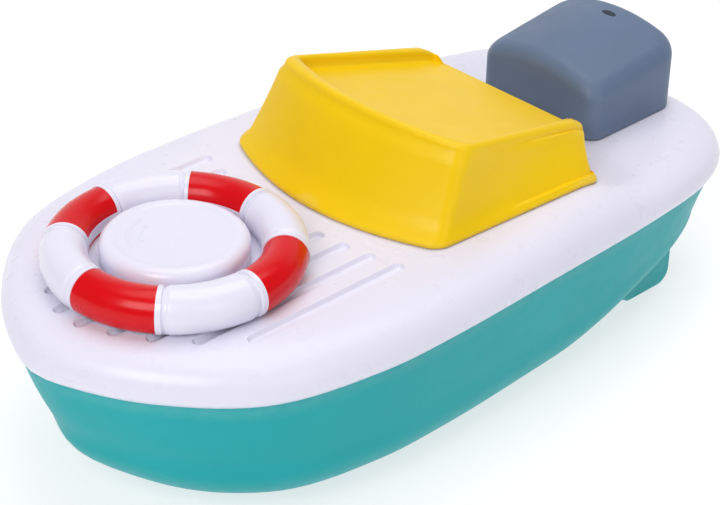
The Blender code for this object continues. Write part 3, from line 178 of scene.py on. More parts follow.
# Sizes of the looks only
BAND_CENTRE = 22.0          # degrees from the bow to the first red band
BAND_HALF = 20.0
BAND_GAP = 2.4              # white collar beside each band
SLOT_HALF = 1.0             # groove between the collar and the white quarter
SLOT_DEPTH = 0.0007
BAND_SINK = 0.00022         # how far a red band lies below its collars
SHOULDER_SINK = 0.0004
SHOULDER = 2.2              # degrees over which a white quarter rounds off
LIP_RISE = 0.0009           # thin lip on the hull's edge that hides the seal
LIP_INSET = 0.0023
TAIL_REACH = 0.0050         # length over which the cabin's rims run down at the back
TAIL_FALL = 0.0024
NOTCH_FROM_BACK = 0.0075
NOTCH_LENGTH = 0.0022
NOTCH_WIDTH = 0.0052
SKIN = 0.0001               # keeps the finer lines inside the CAD's box

BOW_X = LENGTH / 2
STERN_X = -LENGTH / 2
LEVEL_X = BOW_X - LEVEL_FROM_BOW
RING_X = BOW_X - RING_FROM_BOW
CABIN_FRONT_X = RING_X - CABIN_FROM_RING
CABIN_BACK_X = CABIN_FRONT_X - CABIN_LENGTH
COWL_BACK_X = STERN_X + COWL_FROM_STERN
COWL_FRONT_X = COWL_BACK_X + COWL_LENGTH
STEP_X = CABIN_BACK_X + STEP_UNDER_CABIN
TUNNEL_X = STERN_X + TUNNEL_FRONT


# ---------------------------------------------------------------- materials

def new_material(name):
    material = bpy.data.materials.new(name)
    material.use_nodes = True
    tree = material.node_tree
    return material, tree, tree.nodes["Principled BSDF"]


def noise(tree, coords, scale, detail=4.0, stretch=None):
    """Noise in object space; scale counts features per metre."""
    source = coords
    if stretch:
        mapping = tree.nodes.new("ShaderNodeMapping")
        mapping.inputs["Scale"].default_value = stretch
        tree.links.new(coords, mapping.inputs["Vector"])
        source = mapping.outputs["Vector"]
    node = tree.nodes.new("ShaderNodeTexNoise")
    node.inputs["Scale"].default_value = scale
    node.inputs["Detail"].default_value = detail
    tree.links.new(source, node.inputs["Vector"])
    return node.outputs["Fac"]


def ramp(tree, value, stops):
    node = tree.nodes.new("ShaderNodeValToRGB")
    element = node.color_ramp.elements
    element[0].position, element[0].color = stops[0][0], (*stops[0][1], 1.0)
    element[1].position, element[1].color = stops[-1][0], (*stops[-1][1], 1.0)
    for position, color in stops[1:-1]:
        extra = element.new(position)
        extra.color = (*color, 1.0)
    tree.links.new(value, node.inputs["Fac"])
    return node.outputs["Color"]


def spread(tree, value, low, high, from_low=0.0, from_high=1.0):
    node = tree.nodes.new("ShaderNodeMapRange")
    node.inputs["From Min"].default_value = from_low
    node.inputs["From Max"].default_value = from_high
    node.inputs["To Min"].default_value = low
    node.inputs["To Max"].default_value = high
    tree.links.new(value, node.inputs["Value"])
    return node.outputs["Result"]


def mix_color(tree, factor, a, b):
    node = tree.nodes.new("ShaderNodeMix")
    node.data_type = "RGBA"
    for socket, value in ((node.inputs[0], factor), (node.inputs[6], a), (node.inputs[7], b)):
        if isinstance(value, bpy.types.NodeSocket):
            tree.links.new(value, socket)
        elif isinstance(value, float):
            socket.default_value = value
        else:
            socket.default_value = (*value, 1.0)
    return node.outputs[2]


def multiply(tree, a, b):
    node = tree.nodes.new("ShaderNodeMath")
    node.operation = "MULTIPLY"
    for socket, value in zip(node.inputs, (a, b)):
        if isinstance(value, bpy.types.NodeSocket):
            tree.links.new(value, socket)
        else:
            socket.default_value = value
    return node.outputs[0]


def shade(color, gain):
    return tuple(min(c * gain, 1.0) for c in color)


def moulded(name, color, rough=(0.22, 0.34), grain=0.010, cloud=0.05, worn=0.25, coat=0.0, subsurface=0.0,
            specular=0.30):
    """Injection-moulded plastic: faint flow clouding, fine skin grain, hairline scuffs, polished edges."""
    material, tree, shader = new_material(name)
    coords = tree.nodes.new("ShaderNodeTexCoord").outputs["Object"]
    clouds = noise(tree, coords, 34.0, 3.0)
    flow = noise(tree, coords, 70.0, 5.0, (1.0, 3.5, 3.5))
    base = mix_color(tree, spread(tree, clouds, 0.0, 1.0, 0.35, 0.65),
                     shade(color, 1 - cloud), shade(color, 1 + cloud))
    base = mix_color(tree, spread(tree, flow, 0.0, 0.35, 0.45, 0.75), base, shade(color, 1 - 1.4 * cloud))
    geometry = tree.nodes.new("ShaderNodeNewGeometry")
    edges = spread(tree, geometry.outputs["Pointiness"], 0.0, worn, 0.515, 0.60)
    rub = multiply(tree, edges, noise(tree, coords, 240.0, 5.0))
    base = mix_color(tree, rub, base, tuple(0.55 * c + 0.45 for c in color))
    tree.links.new(base, shader.inputs["Base Color"])

    scuffs = noise(tree, coords, 900.0, 2.0, (1.0, 9.0, 4.0))
    scratch = spread(tree, scuffs, 0.0, 1.0, 0.66, 0.72)
    skin = noise(tree, coords, 190.0, 6.0)
    gloss = spread(tree, skin, rough[0], rough[1], 0.3, 0.7)
    lift = tree.nodes.new("ShaderNodeMath")
    lift.operation = "MULTIPLY_ADD"
    lift.inputs[1].default_value = 0.010
    tree.links.new(scratch, lift.inputs[0])
    tree.links.new(gloss, lift.inputs[2])
    tree.links.new(lift.outputs[0], shader.inputs["Roughness"])

    fine = noise(tree, coords, 2600.0, 3.0)
    bump = tree.nodes.new("ShaderNodeBump")
    bump.inputs["Strength"].default_value = grain * 4
    bump.inputs["Distance"].default_value = 0.0002
    tree.links.new(fine, bump.inputs["Height"])
    wave = noise(tree, coords, 60.0, 2.0)
    sink = tree.nodes.new("ShaderNodeBump")
    sink.inputs["Strength"].default_value = 0.015
    sink.inputs["Distance"].default_value = 0.0006
    tree.links.new(wave, sink.inputs["Height"])
    tree.links.new(bump.outputs["Normal"], sink.inputs["Normal"])
    tree.links.new(sink.outputs["Normal"], shader.inputs["Normal"])
    shader.inputs["IOR"].default_value = 1.50
    shader.inputs["Specular IOR Level"].default_value = specular
    shader.inputs["Coat Weight"].default_value = coat
    shader.inputs["Coat Roughness"].default_value = 0.12
    if subsurface:
        shader.inputs["Subsurface Weight"].default_value = subsurface
        shader.inputs["Subsurface Radius"].default_value = (0.004, 0.003, 0.003)
        shader.inputs["Subsurface Scale"].default_value = 0.6
    return material


def metal(name, color, rough=(0.22, 0.42), brush=(1.0, 1.0, 18.0), tarnish=0.25):
    """Turned or rolled metal: brushing along one direction and faint tarnish."""
    material, tree, shader = new_material(name)
    coords = tree.nodes.new("ShaderNodeTexCoord").outputs["Object"]
    lines = noise(tree, coords, 800.0, 4.0, brush)
    stain = noise(tree, coords, 150.0, 5.0)
    dull = shade(color, 1 - tarnish)
    base = mix_color(tree, spread(tree, stain, 0.0, 1.0, 0.4, 0.7), color, dull)
    tree.links.new(base, shader.inputs["Base Color"])
    tree.links.new(spread(tree, lines, rough[0], rough[1], 0.3, 0.7), shader.inputs["Roughness"])
    bump = tree.nodes.new("ShaderNodeBump")
    bump.inputs["Strength"].default_value = 0.12
    bump.inputs["Distance"].default_value = 0.0001
    tree.links.new(lines, bump.inputs["Height"])
    tree.links.new(bump.outputs["Normal"], shader.inputs["Normal"])
    shader.inputs["Metallic"].default_value = 1.0
    return material


def rubber(name):
    material, tree, shader = new_material(name)
    coords = tree.nodes.new("ShaderNodeTexCoord").outputs["Object"]
    bloom = noise(tree, coords, 120.0, 5.0)
    base = ramp(tree, bloom, [(0.35, (0.018, 0.018, 0.020)), (0.70, (0.045, 0.044, 0.046))])
    tree.links.new(base, shader.inputs["Base Color"])
    tree.links.new(spread(tree, bloom, 0.62, 0.85), shader.inputs["Roughness"])
    bump = tree.nodes.new("ShaderNodeBump")
    bump.inputs["Strength"].default_value = 0.15
    bump.inputs["Distance"].default_value = 0.0002
    tree.links.new(noise(tree, coords, 1800.0, 3.0), bump.inputs["Height"])
    tree.links.new(bump.outputs["Normal"], shader.inputs["Normal"])
    return material


WHITE = moulded("white_gloss", (0.795, 0.775, 0.895), (0.16, 0.26), 0.006, 0.015, 0.15, 0.25, 0.06)
WHITE_DECK = moulded("white_deck", (0.785, 0.765, 0.885), (0.26, 0.33), 0.008, 0.008, 0.12, 0.08, 0.06)
TEAL = moulded("teal_satin", (0.008, 0.372, 0.395), (0.38, 0.46), 0.012, 0.025, 0.18, specular=0.18)
YELLOW = moulded("yellow_satin", (0.910, 0.590, 0.001), (0.32, 0.42), 0.010, 0.02, 0.18, 0.05, 0.03, 0.22)
SLATE = moulded("slate_satin", (0.125, 0.175, 0.275), (0.36, 0.50), 0.014, 0.05, 0.30)
RED = moulded("red_gloss", (0.680, 0.000, 0.004), (0.18, 0.28), 0.006, 0.03, 0.08, 0.10, specular=0.22)
IVORY = moulded("ivory_gearbox", (0.660, 0.630, 0.540), (0.38, 0.52), 0.014, 0.04, 0.30)
BLUE = moulded("gear_acetal", (0.075, 0.205, 0.560), (0.30, 0.44), 0.010, 0.05, 0.35)
STEEL = metal("bright_steel", (0.62, 0.62, 0.64))
SPRING_STEEL = metal("blued_spring_steel", (0.34, 0.36, 0.42), (0.25, 0.40), (1.0, 1.0, 30.0))
# Dark slate for the cowl's finger notch: painted shade standing in for the shaded hollow
NOTCH_PAINTED_SHADE = moulded("slate_shadow", (0.020, 0.028, 0.045), (0.50, 0.60), 0.014, 0.05, 0.10)
BRASS = metal("turned_brass", (0.72, 0.52, 0.24), (0.20, 0.36), (16.0, 1.0, 1.0))
RUBBER = rubber("black_rubber")


# ---------------------------------------------------------------- mesh helpers

def add_object(name, bm, materials, sharp_deg=35.0):
    bmesh.ops.recalc_face_normals(bm, faces=bm.faces)
    mesh = bpy.data.meshes.new(name)
    bm.to_mesh(mesh)
    bm.free()
    mesh.shade_smooth()
    mesh.set_sharp_from_angle(angle=math.radians(sharp_deg))
    item = bpy.data.objects.new(name, mesh)
    bpy.context.collection.objects.link(item)
    for material in materials:
        mesh.materials.append(material)
    return item


def carve(target, tools):
    """Apply exact booleans in turn, then drop the tools. Each tool is (object, operation)."""
    for tool, operation in tools:
        modifier = target.modifiers.new("carve", "BOOLEAN")
        modifier.operation = operation
        modifier.solver = "EXACT"
        modifier.object = tool
    depsgraph = bpy.context.evaluated_depsgraph_get()
    carved = bpy.data.meshes.new_from_object(target.evaluated_get(depsgraph))
    target.modifiers.clear()
    old = target.data
    target.data = carved
    carved.name = old.name
    bpy.data.meshes.remove(old)
    for tool, _ in tools:
        bpy.data.objects.remove(tool, do_unlink=True)


def soften(item, width, segments=3, angle=35.0):
    bevel = item.modifiers.new("soften", "BEVEL")
    bevel.width = width
    bevel.segments = segments
    bevel.limit_method = "ANGLE"
    bevel.angle_limit = math.radians(angle)
    bevel.harden_normals = True
    bevel.use_clamp_overlap = True


def loft_into(bm, rings, closed=False, caps=True):
    rows = [[bm.verts.new(point) for point in ring] for ring in rings]
    count = len(rows[0])
    pairs = list(zip(rows, rows[1:]))
    if closed:
        pairs.append((rows[-1], rows[0]))
    for low, high in pairs:
        for i in range(count):
            j = (i + 1) % count
            bm.faces.new((low[i], low[j], high[j], high[i]))
    if not closed and caps:
        bm.faces.new(rows[0])
        bm.faces.new(rows[-1])
    return rows


def ladder_cap(bm, row):
    count = len(row)
    for i in range(count // 2):
        corners = [row[i], row[i + 1], row[(count - i - 1) % count], row[(count - i) % count]]
        bm.faces.new(list(dict.fromkeys(corners)))


def boat_loft(name, rings, materials):
    bm = bmesh.new()
    rows = loft_into(bm, rings, caps=False)
    ladder_cap(bm, rows[0])
    ladder_cap(bm, rows[-1])
    return add_object(name, bm, materials)


def circle(radius, z, segments, center=(0.0, 0.0)):
    points = []
    for i in range(segments):
        angle = 2 * math.pi * (i + 0.5) / segments
        points.append((center[0] + radius * math.cos(angle), center[1] + radius * math.sin(angle), z))
    return points


def turned_into(bm, profile, segments, center=(0.0, 0.0)):
    loft_into(bm, [circle(r, z, segments, center) for r, z in profile])


def catmull_rom(points, steps, mirror=True):
    first = Vector((points[1][0], -points[1][1])) if mirror else Vector(points[0]) * 2 - Vector(points[1])
    last = Vector((points[-2][0], -points[-2][1])) if mirror else Vector(points[-1]) * 2 - Vector(points[-2])
    knots = [first] + [Vector(p) for p in points] + [last]
    curve = []
    for i in range(1, len(knots) - 2):
        p0, p1, p2, p3 = knots[i - 1:i + 3]
        t1 = (p1 - p0).length ** 0.5
        t2 = t1 + (p2 - p1).length ** 0.5
        t3 = t2 + (p3 - p2).length ** 0.5
        for k in range(steps):
            t = t1 + (t2 - t1) * k / steps
            a1 = p0 * ((t1 - t) / t1) + p1 * (t / t1)
            a2 = p1 * ((t2 - t) / (t2 - t1)) + p2 * ((t - t1) / (t2 - t1))
            a3 = p2 * ((t3 - t) / (t3 - t2)) + p3 * ((t - t2) / (t3 - t2))
            b1 = a1 * ((t2 - t) / t2) + a2 * (t / t2)
            b2 = a2 * ((t3 - t) / (t3 - t1)) + a3 * ((t - t1) / (t3 - t1))
            curve.append(b1 * ((t2 - t) / (t2 - t1)) + b2 * ((t - t1) / (t2 - t1)))
    curve.append(Vector(points[-1]))
    return curve


def even_points(curve, count):
    lengths = [0.0]
    for a, b in zip(curve, curve[1:]):
        lengths.append(lengths[-1] + (b - a).length)
    points = []
    segment = 0
    for i in range(count + 1):
        wanted = lengths[-1] * i / count
        while segment < len(curve) - 2 and lengths[segment + 1] < wanted:
            segment += 1
        share = (wanted - lengths[segment]) / (lengths[segment + 1] - lengths[segment])
        points.append(curve[segment].lerp(curve[segment + 1], share))
    return points


PORT_SIDE = even_points(catmull_rom([(x * LENGTH / 2, y * BEAM / 2) for x, y in OUTLINE], 24), HALF_POINTS)


# ---------------------------------------------------------------- boat lines

def soft_step(share):
    share = min(max(share, 0.0), 1.0)
    return share * share * (3 - 2 * share)


def edge_fall(x):
    return -EDGE_DROP * (max(LEVEL_X - x, 0.0) / (LEVEL_X - STERN_X)) ** 2


def bottom_rise(x):
    """How far the bottom sweeps up towards the stern and the bow."""
    aft = STERN_RISE * soft_step((STERN_X + STERN_RISE_START - x) / STERN_RISE_LENGTH)
    fore = BOW_RISE * soft_step((x - BOW_X + BOW_RISE_START) / BOW_RISE_LENGTH)
    return aft + fore


def swept(ring, weight):
    share = weight * (1 - ring[0][2] / (DECK_Z - HULL_TOP_DROP))
    return [(x, y, z + bottom_rise(x) * share) for x, y, z in ring]


def deck_fall(x):
    return -DECK_DROP * soft_step((STEP_X - x) / (STEP_X - COWL_FRONT_X))


def deck_z(x):
    return DECK_Z + deck_fall(x)


def inset_side(side, bow, stern):
    length_share = (LENGTH - bow - stern) / LENGTH
    beam_share = 1 - side / (BEAM / 2)
    shift = (stern - bow) / 2
    return [(p.x * length_share + shift, p.y * beam_share) for p in PORT_SIDE]


def outline_ring(side, bow, stern, z, edge_share, deck_share=0.0):
    half = inset_side(side, bow, stern)
    full = half + [(x, -y) for x, y in reversed(half[1:-1])]
    return [(x, y, z + edge_fall(x) * edge_share + deck_fall(x) * deck_share) for x, y in full]


def deck_ring(side, drop):
    edge_share = min(-drop / -RIM_PROFILE[2][1], 1.0)
    return outline_ring(side + SKIN, side + SKIN, side + SKIN, DECK_Z + drop, edge_share, 1.0 - edge_share)


def hull_rings(wall, floor, top_z, angles):
    rings = []
    for angle in angles:
        turn = math.radians(angle)
        side = BILGE_INSET + wall + (BILGE_DEPTH - wall / 2) * (1 - math.cos(turn))
        z = floor + (BILGE_HEIGHT - floor) * (1 - math.sin(turn))
        level = outline_ring(side, side * BOW_RAKE, side * STERN_RAKE, z, 0.0)
        rings.append(swept(level, 1 - MIDDLE_SAG * (1 - math.cos(turn)) ** 3))
    rake_steps = 5
    for i in range(1, rake_steps + 1):
        share = i / rake_steps
        side = BILGE_INSET + (HULL_TOP_INSET - BILGE_INSET) * share + wall
        bow = side * (BOW_RAKE + (1 - BOW_RAKE) * share)
        stern = side * (STERN_RAKE + (1 - STERN_RAKE) * share)
        z = BILGE_HEIGHT + (DECK_Z - HULL_TOP_DROP - BILGE_HEIGHT) * share
        raised = swept(outline_ring(side, bow, stern, z, 0.0), 1.0)
        rings.append([(x, y, low + edge_fall(x) * share) for x, y, low in raised])
    if top_z:
        side = HULL_TOP_INSET + wall
        rings.append(outline_ring(side, side, side, top_z, 1.0))
    return rings


def post_places():
    return [(x, sign * y) for x, y in HULL_POSTS for sign in (1, -1)]


# ---------------------------------------------------------------- hull

def tunnel_block(half, flank, front_x, back_x):
    arch = [(-half, -0.010), (half, -0.010), (half, flank)]
    steps = 24
    for i in range(1, steps):
        angle = math.pi * i / steps
        arch.append((half * math.cos(angle), flank + half * math.sin(angle)))
    arch.append((-half, flank))
    bm = bmesh.new()
    loft_into(bm, [[(x, y, z) for y, z in arch] for x in (front_x, back_x)])
    return add_object("tunnel_tool", bm, [])


def keel_blanks():
    aft = STERN_X + KEEL_AFT
    front = aft + KEEL_LENGTH
    side = [(aft, KEEL_TOP)]
    steps = 10
    for i in range(steps + 1):
        angle = math.radians(180 + 90 * i / steps)
        along, up = KEEL_RADIUS * math.cos(angle), KEEL_RADIUS * math.sin(angle)
        side.append((aft + KEEL_RADIUS + along, KEEL_RADIUS + up))
    side += [(front - KEEL_SLOPE, 0.0), (front, KEEL_NOSE), (front, KEEL_TOP)]
    middle_x = (aft + front) / 2
    bm = bmesh.new()
    for sign in (1, -1):
        low = sign * KEEL_Y - KEEL_THICK / 2
        rings = []
        for y, inset in ((low, KEEL_EDGE), (low + KEEL_EDGE, 0.0), (low + KEEL_THICK - KEEL_EDGE, 0.0),
                         (low + KEEL_THICK, KEEL_EDGE)):
            rings.append([(x + inset * (1 if x < middle_x else -1), y, z + (inset if z < 0.012 else 0.0))
                          for x, z in side])
        loft_into(bm, rings)
    return add_object("keel_tool", bm, [])


def screw_wells(bore):
    """Blank posts round the deck screws, or the wells and holes drilled through them."""
    bm = bmesh.new()
    for place in post_places():
        if bore:
            profile = [(SCREW_HOLE, -0.002), (SCREW_HOLE, HULL_SEAT_Z), (SCREW_SHANK_HOLE, HULL_SEAT_Z),
                       (SCREW_SHANK_HOLE, HULL_POST_TOP + 0.001)]
        else:
            profile = [(HULL_POST_RADIUS, -0.001), (HULL_POST_RADIUS, HULL_POST_TOP)]
        turned_into(bm, profile, 32, place)
    return add_object("well_tool", bm, [])


def make_hull():
    skin = hull_rings(0.0, 0.0, 0.0, [90 - 7.5 * i for i in range(13)])
    top = DECK_Z - HULL_TOP_DROP
    for side, z in ((HULL_TOP_INSET, top + LIP_RISE), (LIP_INSET, top + LIP_RISE), (LIP_INSET, top)):
        skin.append(outline_ring(side, side, side, z, 1.0))
    hull = boat_loft("hull_skin", skin, [TEAL])
    inside = hull_rings(HULL_WALL, HULL_FLOOR, DECK_Z, [90 - 15 * i for i in range(7)])
    cavity = boat_loft("hull_cavity", inside, [])
    casing = tunnel_block(TUNNEL_HALF + HULL_WALL, TUNNEL_FLANK, TUNNEL_X + HULL_WALL, STERN_X - 0.010)
    carve(cavity, [(casing, "DIFFERENCE"), (screw_wells(False), "DIFFERENCE")])
    tunnel = tunnel_block(TUNNEL_HALF, TUNNEL_FLANK, TUNNEL_X, STERN_X - 0.020)
    bm = bmesh.new()
    turned_into(bm, [(TUBE_HOLE, -0.004), (TUBE_HOLE, 0.004)], 32)
    tube_hole = add_object("tube_tool", bm, [])
    low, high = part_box("stern_tube")
    tube_hole.matrix_world = (Matrix.Translation((TUNNEL_X + HULL_WALL / 2, 0.0, (low[2] + high[2]) / 2))
                              @ Matrix.Rotation(math.radians(90), 4, "Y"))
    bpy.context.view_layer.update()
    carve(hull, [(keel_blanks(), "UNION"), (cavity, "DIFFERENCE"), (tunnel, "DIFFERENCE"),
                 (screw_wells(True), "DIFFERENCE"), (tube_hole, "DIFFERENCE")])
    hull.data.shade_smooth()
    hull.data.set_sharp_from_angle(angle=math.radians(35))
    soften(hull, 0.0005, 2, 40.0)
    place(hull, "hull", "teal_plastic", "hull_shell")


def place(item, body, slot, *replaced):
    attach(item, body)
    if replaced:
        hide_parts(*replaced)


# ---------------------------------------------------------------- deck

def arc_front(y, front, depth, half):
    return front - depth * (y / half) ** 2


def groove_ends(y):
    bow_side = inset_side(GROOVE_SIDE_INSET, GROOVE_BOW_INSET, GROOVE_SIDE_INSET)
    fore = CABIN_FRONT_X
    for a, b in zip(bow_side, bow_side[1:]):
        if a[1] <= abs(y) <= b[1]:
            fore = a[0] + (b[0] - a[0]) * (abs(y) - a[1]) / (b[1] - a[1])
            break
    aft = arc_front(y, CABIN_FRONT_X, GROOVE_ARC, CABIN_HALF) + GROOVE_CABIN_GAP
    return fore, aft


def groove_ring(y, widen, z):
    fore, aft = groove_ends(y)
    half_width = GROOVE_WIDTH / 2
    radius = half_width + widen
    points = []
    for center, start in ((fore - half_width, -90), (aft + half_width, 90)):
        for i in range(13):
            angle = math.radians(start + 15 * i)
            points.append((center + radius * math.cos(angle), y + radius * math.sin(angle), z))
    return points


def groove_tool():
    """Long round-ended grooves with a rounded floor and a soft lip."""
    bm = bmesh.new()
    for i in range(GROOVE_COUNT):
        y = (i - (GROOVE_COUNT - 1) / 2) * GROOVE_PITCH
        rings = [groove_ring(y, widen, DECK_Z + z) for widen, z in GROOVE_SECTION]
        loft_into(bm, rings)
    return add_object("groove_tool", bm, [])


def make_deck():
    profile = catmull_rom(RIM_PROFILE, 4, mirror=False)
    outer = [deck_ring(p.x, p.y) for p in profile]
    inner = [deck_ring(inset, drop) for inset, drop in DECK_INNER]
    deck = boat_loft("deck_skin", list(reversed(inner)) + outer, [WHITE_DECK])
    bm = bmesh.new()
    for x, y in post_places():
        post = [(DECK_POST_RADIUS, HULL_POST_TOP + GAP), (DECK_POST_RADIUS, deck_z(x) - DECK_WALL / 2)]
        turned_into(bm, post, 24, (x, y))
    hub = [(HUB_NECK_RADIUS, DECK_Z - HUB_DEPTH), (HUB_NECK_RADIUS, DECK_Z - DECK_WALL),
           (HUB_RADIUS, DECK_Z - DECK_WALL), (HUB_RADIUS, DECK_Z + HUB_RISE)]
    turned_into(bm, hub, 48, (RING_X, 0.0))
    bosses = add_object("boss_tool", bm, [])
    bm = bmesh.new()
    bore = [(SHAFT_HOLE, DECK_Z - 0.010), (SHAFT_HOLE, DECK_Z - GLAND_FOOT), (GLAND_RADIUS, DECK_Z - GLAND_FOOT),
            (GLAND_RADIUS, DECK_Z - GLAND_TOP), (SHAFT_HOLE, DECK_Z - GLAND_TOP), (SHAFT_HOLE, DECK_Z + 0.003)]
    turned_into(bm, bore, 40, (RING_X, 0.0))
    for x, y in post_places():
        pilot = [(DECK_PILOT_RADIUS, HULL_POST_TOP), (DECK_PILOT_RADIUS, HULL_POST_TOP + DECK_PILOT_DEPTH)]
        turned_into(bm, pilot, 16, (x, y))
    screws = [(x, sign * CABIN_SCREW_Y)
              for x in (CABIN_FRONT_X - CABIN_SCREW_FORE, CABIN_BACK_X + CABIN_SCREW_AFT) for sign in (1, -1)]
    for x, y in screws + [(COWL_FRONT_X - COWL_SCREW_INSET, 0.0), (COWL_BACK_X + COWL_SCREW_INSET, 0.0)]:
        hole = [(SCREW_SHANK_HOLE, deck_z(x) - 0.006), (SCREW_SHANK_HOLE, deck_z(x) + 0.003)]
        turned_into(bm, hole, 16, (x, y))
    holes = add_object("hole_tool", bm, [])
    carve(deck, [(groove_tool(), "DIFFERENCE"), (bosses, "UNION"), (holes, "DIFFERENCE")])
    deck.data.shade_smooth()
    deck.data.set_sharp_from_angle(angle=math.radians(50))
    soften(deck, 0.00035, 3, 24.0)
    place(deck, "hull", "white_plastic", "deck_shell")


# ---------------------------------------------------------------- cabin

def cabin_ring(front, back, half_front, half_back, arc, height, offset, tail_offset=None):
    front -= offset
    back += offset if tail_offset is None else tail_offset
    half_front -= offset
    half_back -= offset
    corner = max(CABIN_CORNER - offset, 0.0012)
    tail_corner = max(CABIN_TAIL_CORNER - offset, 0.0006)
    port = []
    for i in range(20):
        y = (half_front - corner) * i / 20
        port.append((arc_front(y, front, arc, half_front), y))
    slope = 2 * arc * (half_front - corner) / half_front ** 2
    start = math.atan(slope)
    turn_x = arc_front(half_front - corner, front, arc, half_front) - corner * math.cos(start)
    turn_y = half_front - corner - corner * math.sin(start)
    for i in range(10):
        angle = start + (math.pi / 2 - start) * i / 9
        port.append((turn_x + corner * math.cos(angle), turn_y + corner * math.sin(angle)))
    side_y = turn_y + corner
    for i in range(1, 12):
        share = i / 12
        x = turn_x + (back + tail_corner - turn_x) * share
        port.append((x, side_y + (half_back - side_y) * share))
    for i in range(7):
        angle = math.radians(90 + 90 * i / 6)
        port.append((back + tail_corner + tail_corner * math.cos(angle),
                     half_back - tail_corner + tail_corner * math.sin(angle)))
    rim_foot = min(CABIN_TAIL_HALF - CABIN_RIM + 0.0016, half_back - tail_corner - 0.0001)
    for i in range(9):
        port.append((back, rim_foot - 0.0004 * i))
    port.append((back, 0.0))
    full = port + [(x, -y) for x, y in reversed(port[1:-1])]
    return [(x, y, height(x, y)) for x, y in full]


def roof_height(x):
    front = CABIN_FRONT_X - CABIN_TOP_BACK
    share = (front - x) / (front - CABIN_BACK_X + CABIN_TAIL_OVER)
    return CABIN_FRONT_HEIGHT + (CABIN_TAIL_HEIGHT - CABIN_FRONT_HEIGHT) * share


def tail_fall(x, back):
    """How far the roof's rim runs down over its last few millimetres."""
    return TAIL_FALL * (max(back + TAIL_REACH - x, 0.0) / TAIL_REACH) ** 2


def cabin_wall_ring(share, offset, lip=0.0, drop=0.0):
    bulge = CABIN_BULGE * math.sin(math.pi * share)

    back = CABIN_BACK_X - CABIN_TAIL_OVER * share

    def height(x, y):
        foot = deck_z(x) + GAP + drop
        return foot + (DECK_Z + roof_height(x) - tail_fall(x, back) - foot) * share

    return cabin_ring(
        CABIN_FRONT_X - CABIN_TOP_BACK * share,
        back,
        CABIN_HALF + (CABIN_TOP_HALF - CABIN_HALF) * share,
        CABIN_HALF + (CABIN_TAIL_HALF - CABIN_HALF) * share,
        CABIN_ARC + (CABIN_TOP_ARC - CABIN_ARC) * share, height, offset - lip + bulge)


def cabin_roof_ring(offset, drop, tail_offset=None, tail_drop=0.0):
    back = CABIN_BACK_X - CABIN_TAIL_OVER
    edge = CABIN_TAIL_HALF - CABIN_RIM - 0.0006
    blend = 0.0012

    def height(x, y):
        rim = DECK_Z + roof_height(x) - drop - SKIN - min(tail_fall(x, back), max(CABIN_RECESS - drop, 0.0))
        if x > back + CABIN_ROUND * 1.5:
            return rim
        share = min(max((edge + blend - abs(y)) / (2 * blend), 0.0), 1.0)
        plate = DECK_Z + roof_height(x) - drop - tail_drop - SKIN
        return rim + (plate - rim) * share * share * (3 - 2 * share)

    return cabin_ring(CABIN_FRONT_X - CABIN_TOP_BACK, back, CABIN_TOP_HALF, CABIN_TAIL_HALF,
                      CABIN_TOP_ARC, height, offset, tail_offset)


def make_cabin():
    """Shell with a flanged foot, a bead round the roof and a recessed plate open at the back."""
    recess = CABIN_RECESS
    foot = CABIN_LIP_HEIGHT
    outer = [cabin_wall_ring(0.0, 0.0, CABIN_LIP - 0.0002),
             cabin_wall_ring(0.0, 0.0, CABIN_LIP, FOOT_ROUND),
             cabin_wall_ring(0.0, 0.0, CABIN_LIP, foot - FOOT_ROUND),
             cabin_wall_ring(0.0, 0.0, CABIN_LIP - FOOT_ROUND, foot),
             cabin_wall_ring(0.0, 0.0, 0.0004, foot + 0.0002),
             cabin_wall_ring(0.0, 0.0, 0.0001, foot + 0.0007)]
    outer += [cabin_wall_ring(share, 0.0) for share in (0.12, 0.25, 0.38, 0.5, 0.62, 0.74, 0.84)]
    for degrees in range(0, 91, 15):
        turn = math.radians(degrees)
        drop = CABIN_ROUND * (1 - math.sin(turn))
        offset = CABIN_ROUND * (1 - math.cos(turn))
        outer.append(cabin_roof_ring(offset, drop, 0.0006 * (1 - math.cos(turn)), recess - drop))
    for degrees in range(0, 91, 15):
        turn = math.radians(degrees)
        offset = CABIN_RIM - CREST_INSET - CREST + CREST * math.sin(turn)
        drop = CREST * (1 - math.cos(turn))
        outer.append(cabin_roof_ring(offset, drop, 0.0010, recess - drop))
    for degrees in range(30, 91, 20):
        turn = math.radians(degrees)
        offset = CABIN_RIM - CREST_INSET + CREST * (1 - math.cos(turn))
        drop = recess - CREST + CREST * math.sin(turn)
        outer.append(cabin_roof_ring(offset, drop, 0.0012 + 0.0004 * (1 - math.cos(turn)), recess - drop))
    outer.append(cabin_roof_ring(CABIN_RIM + 0.0006, recess, 0.0020))
    under = recess + CABIN_WALL
    inner = [cabin_roof_ring(CABIN_RIM, under)]
    inner += [cabin_wall_ring(share, CABIN_WALL) for share in (0.5, 0.25, 0.12, 0.0)]
    bm = bmesh.new()
    loft_into(bm, inner + outer)
    cabin = add_object("cabin_skin", bm, [YELLOW], 50.0)
    place(cabin, "hull", "yellow_plastic", "cabin")


# ---------------------------------------------------------------- motor cowl

def cowl_roof(x, y):
    share = (COWL_FRONT_X - x) / COWL_LENGTH
    rise = COWL_FRONT_HEIGHT + (COWL_TAIL_HEIGHT - COWL_FRONT_HEIGHT) * share
    return DECK_Z + rise - COWL_CROWN * (y / COWL_HALF) ** 2


def cowl_half(inset, corner_radius):
    half = COWL_HALF - inset
    reach = COWL_LENGTH / 2 - inset
    corner = max(corner_radius - inset / 2, 0.001)
    points = [(0.0, half), ((reach - corner) * 0.5, half)]
    for i in range(10):
        angle = math.radians(90 - 10 * i)
        points.append((reach - corner + corner * math.cos(angle), half - corner + corner * math.sin(angle)))
    points += [(reach, (half - corner) * (1 - i / 10)) for i in range(1, 11)]
    return points + [(x, -y) for x, y in reversed(points[:-1])]


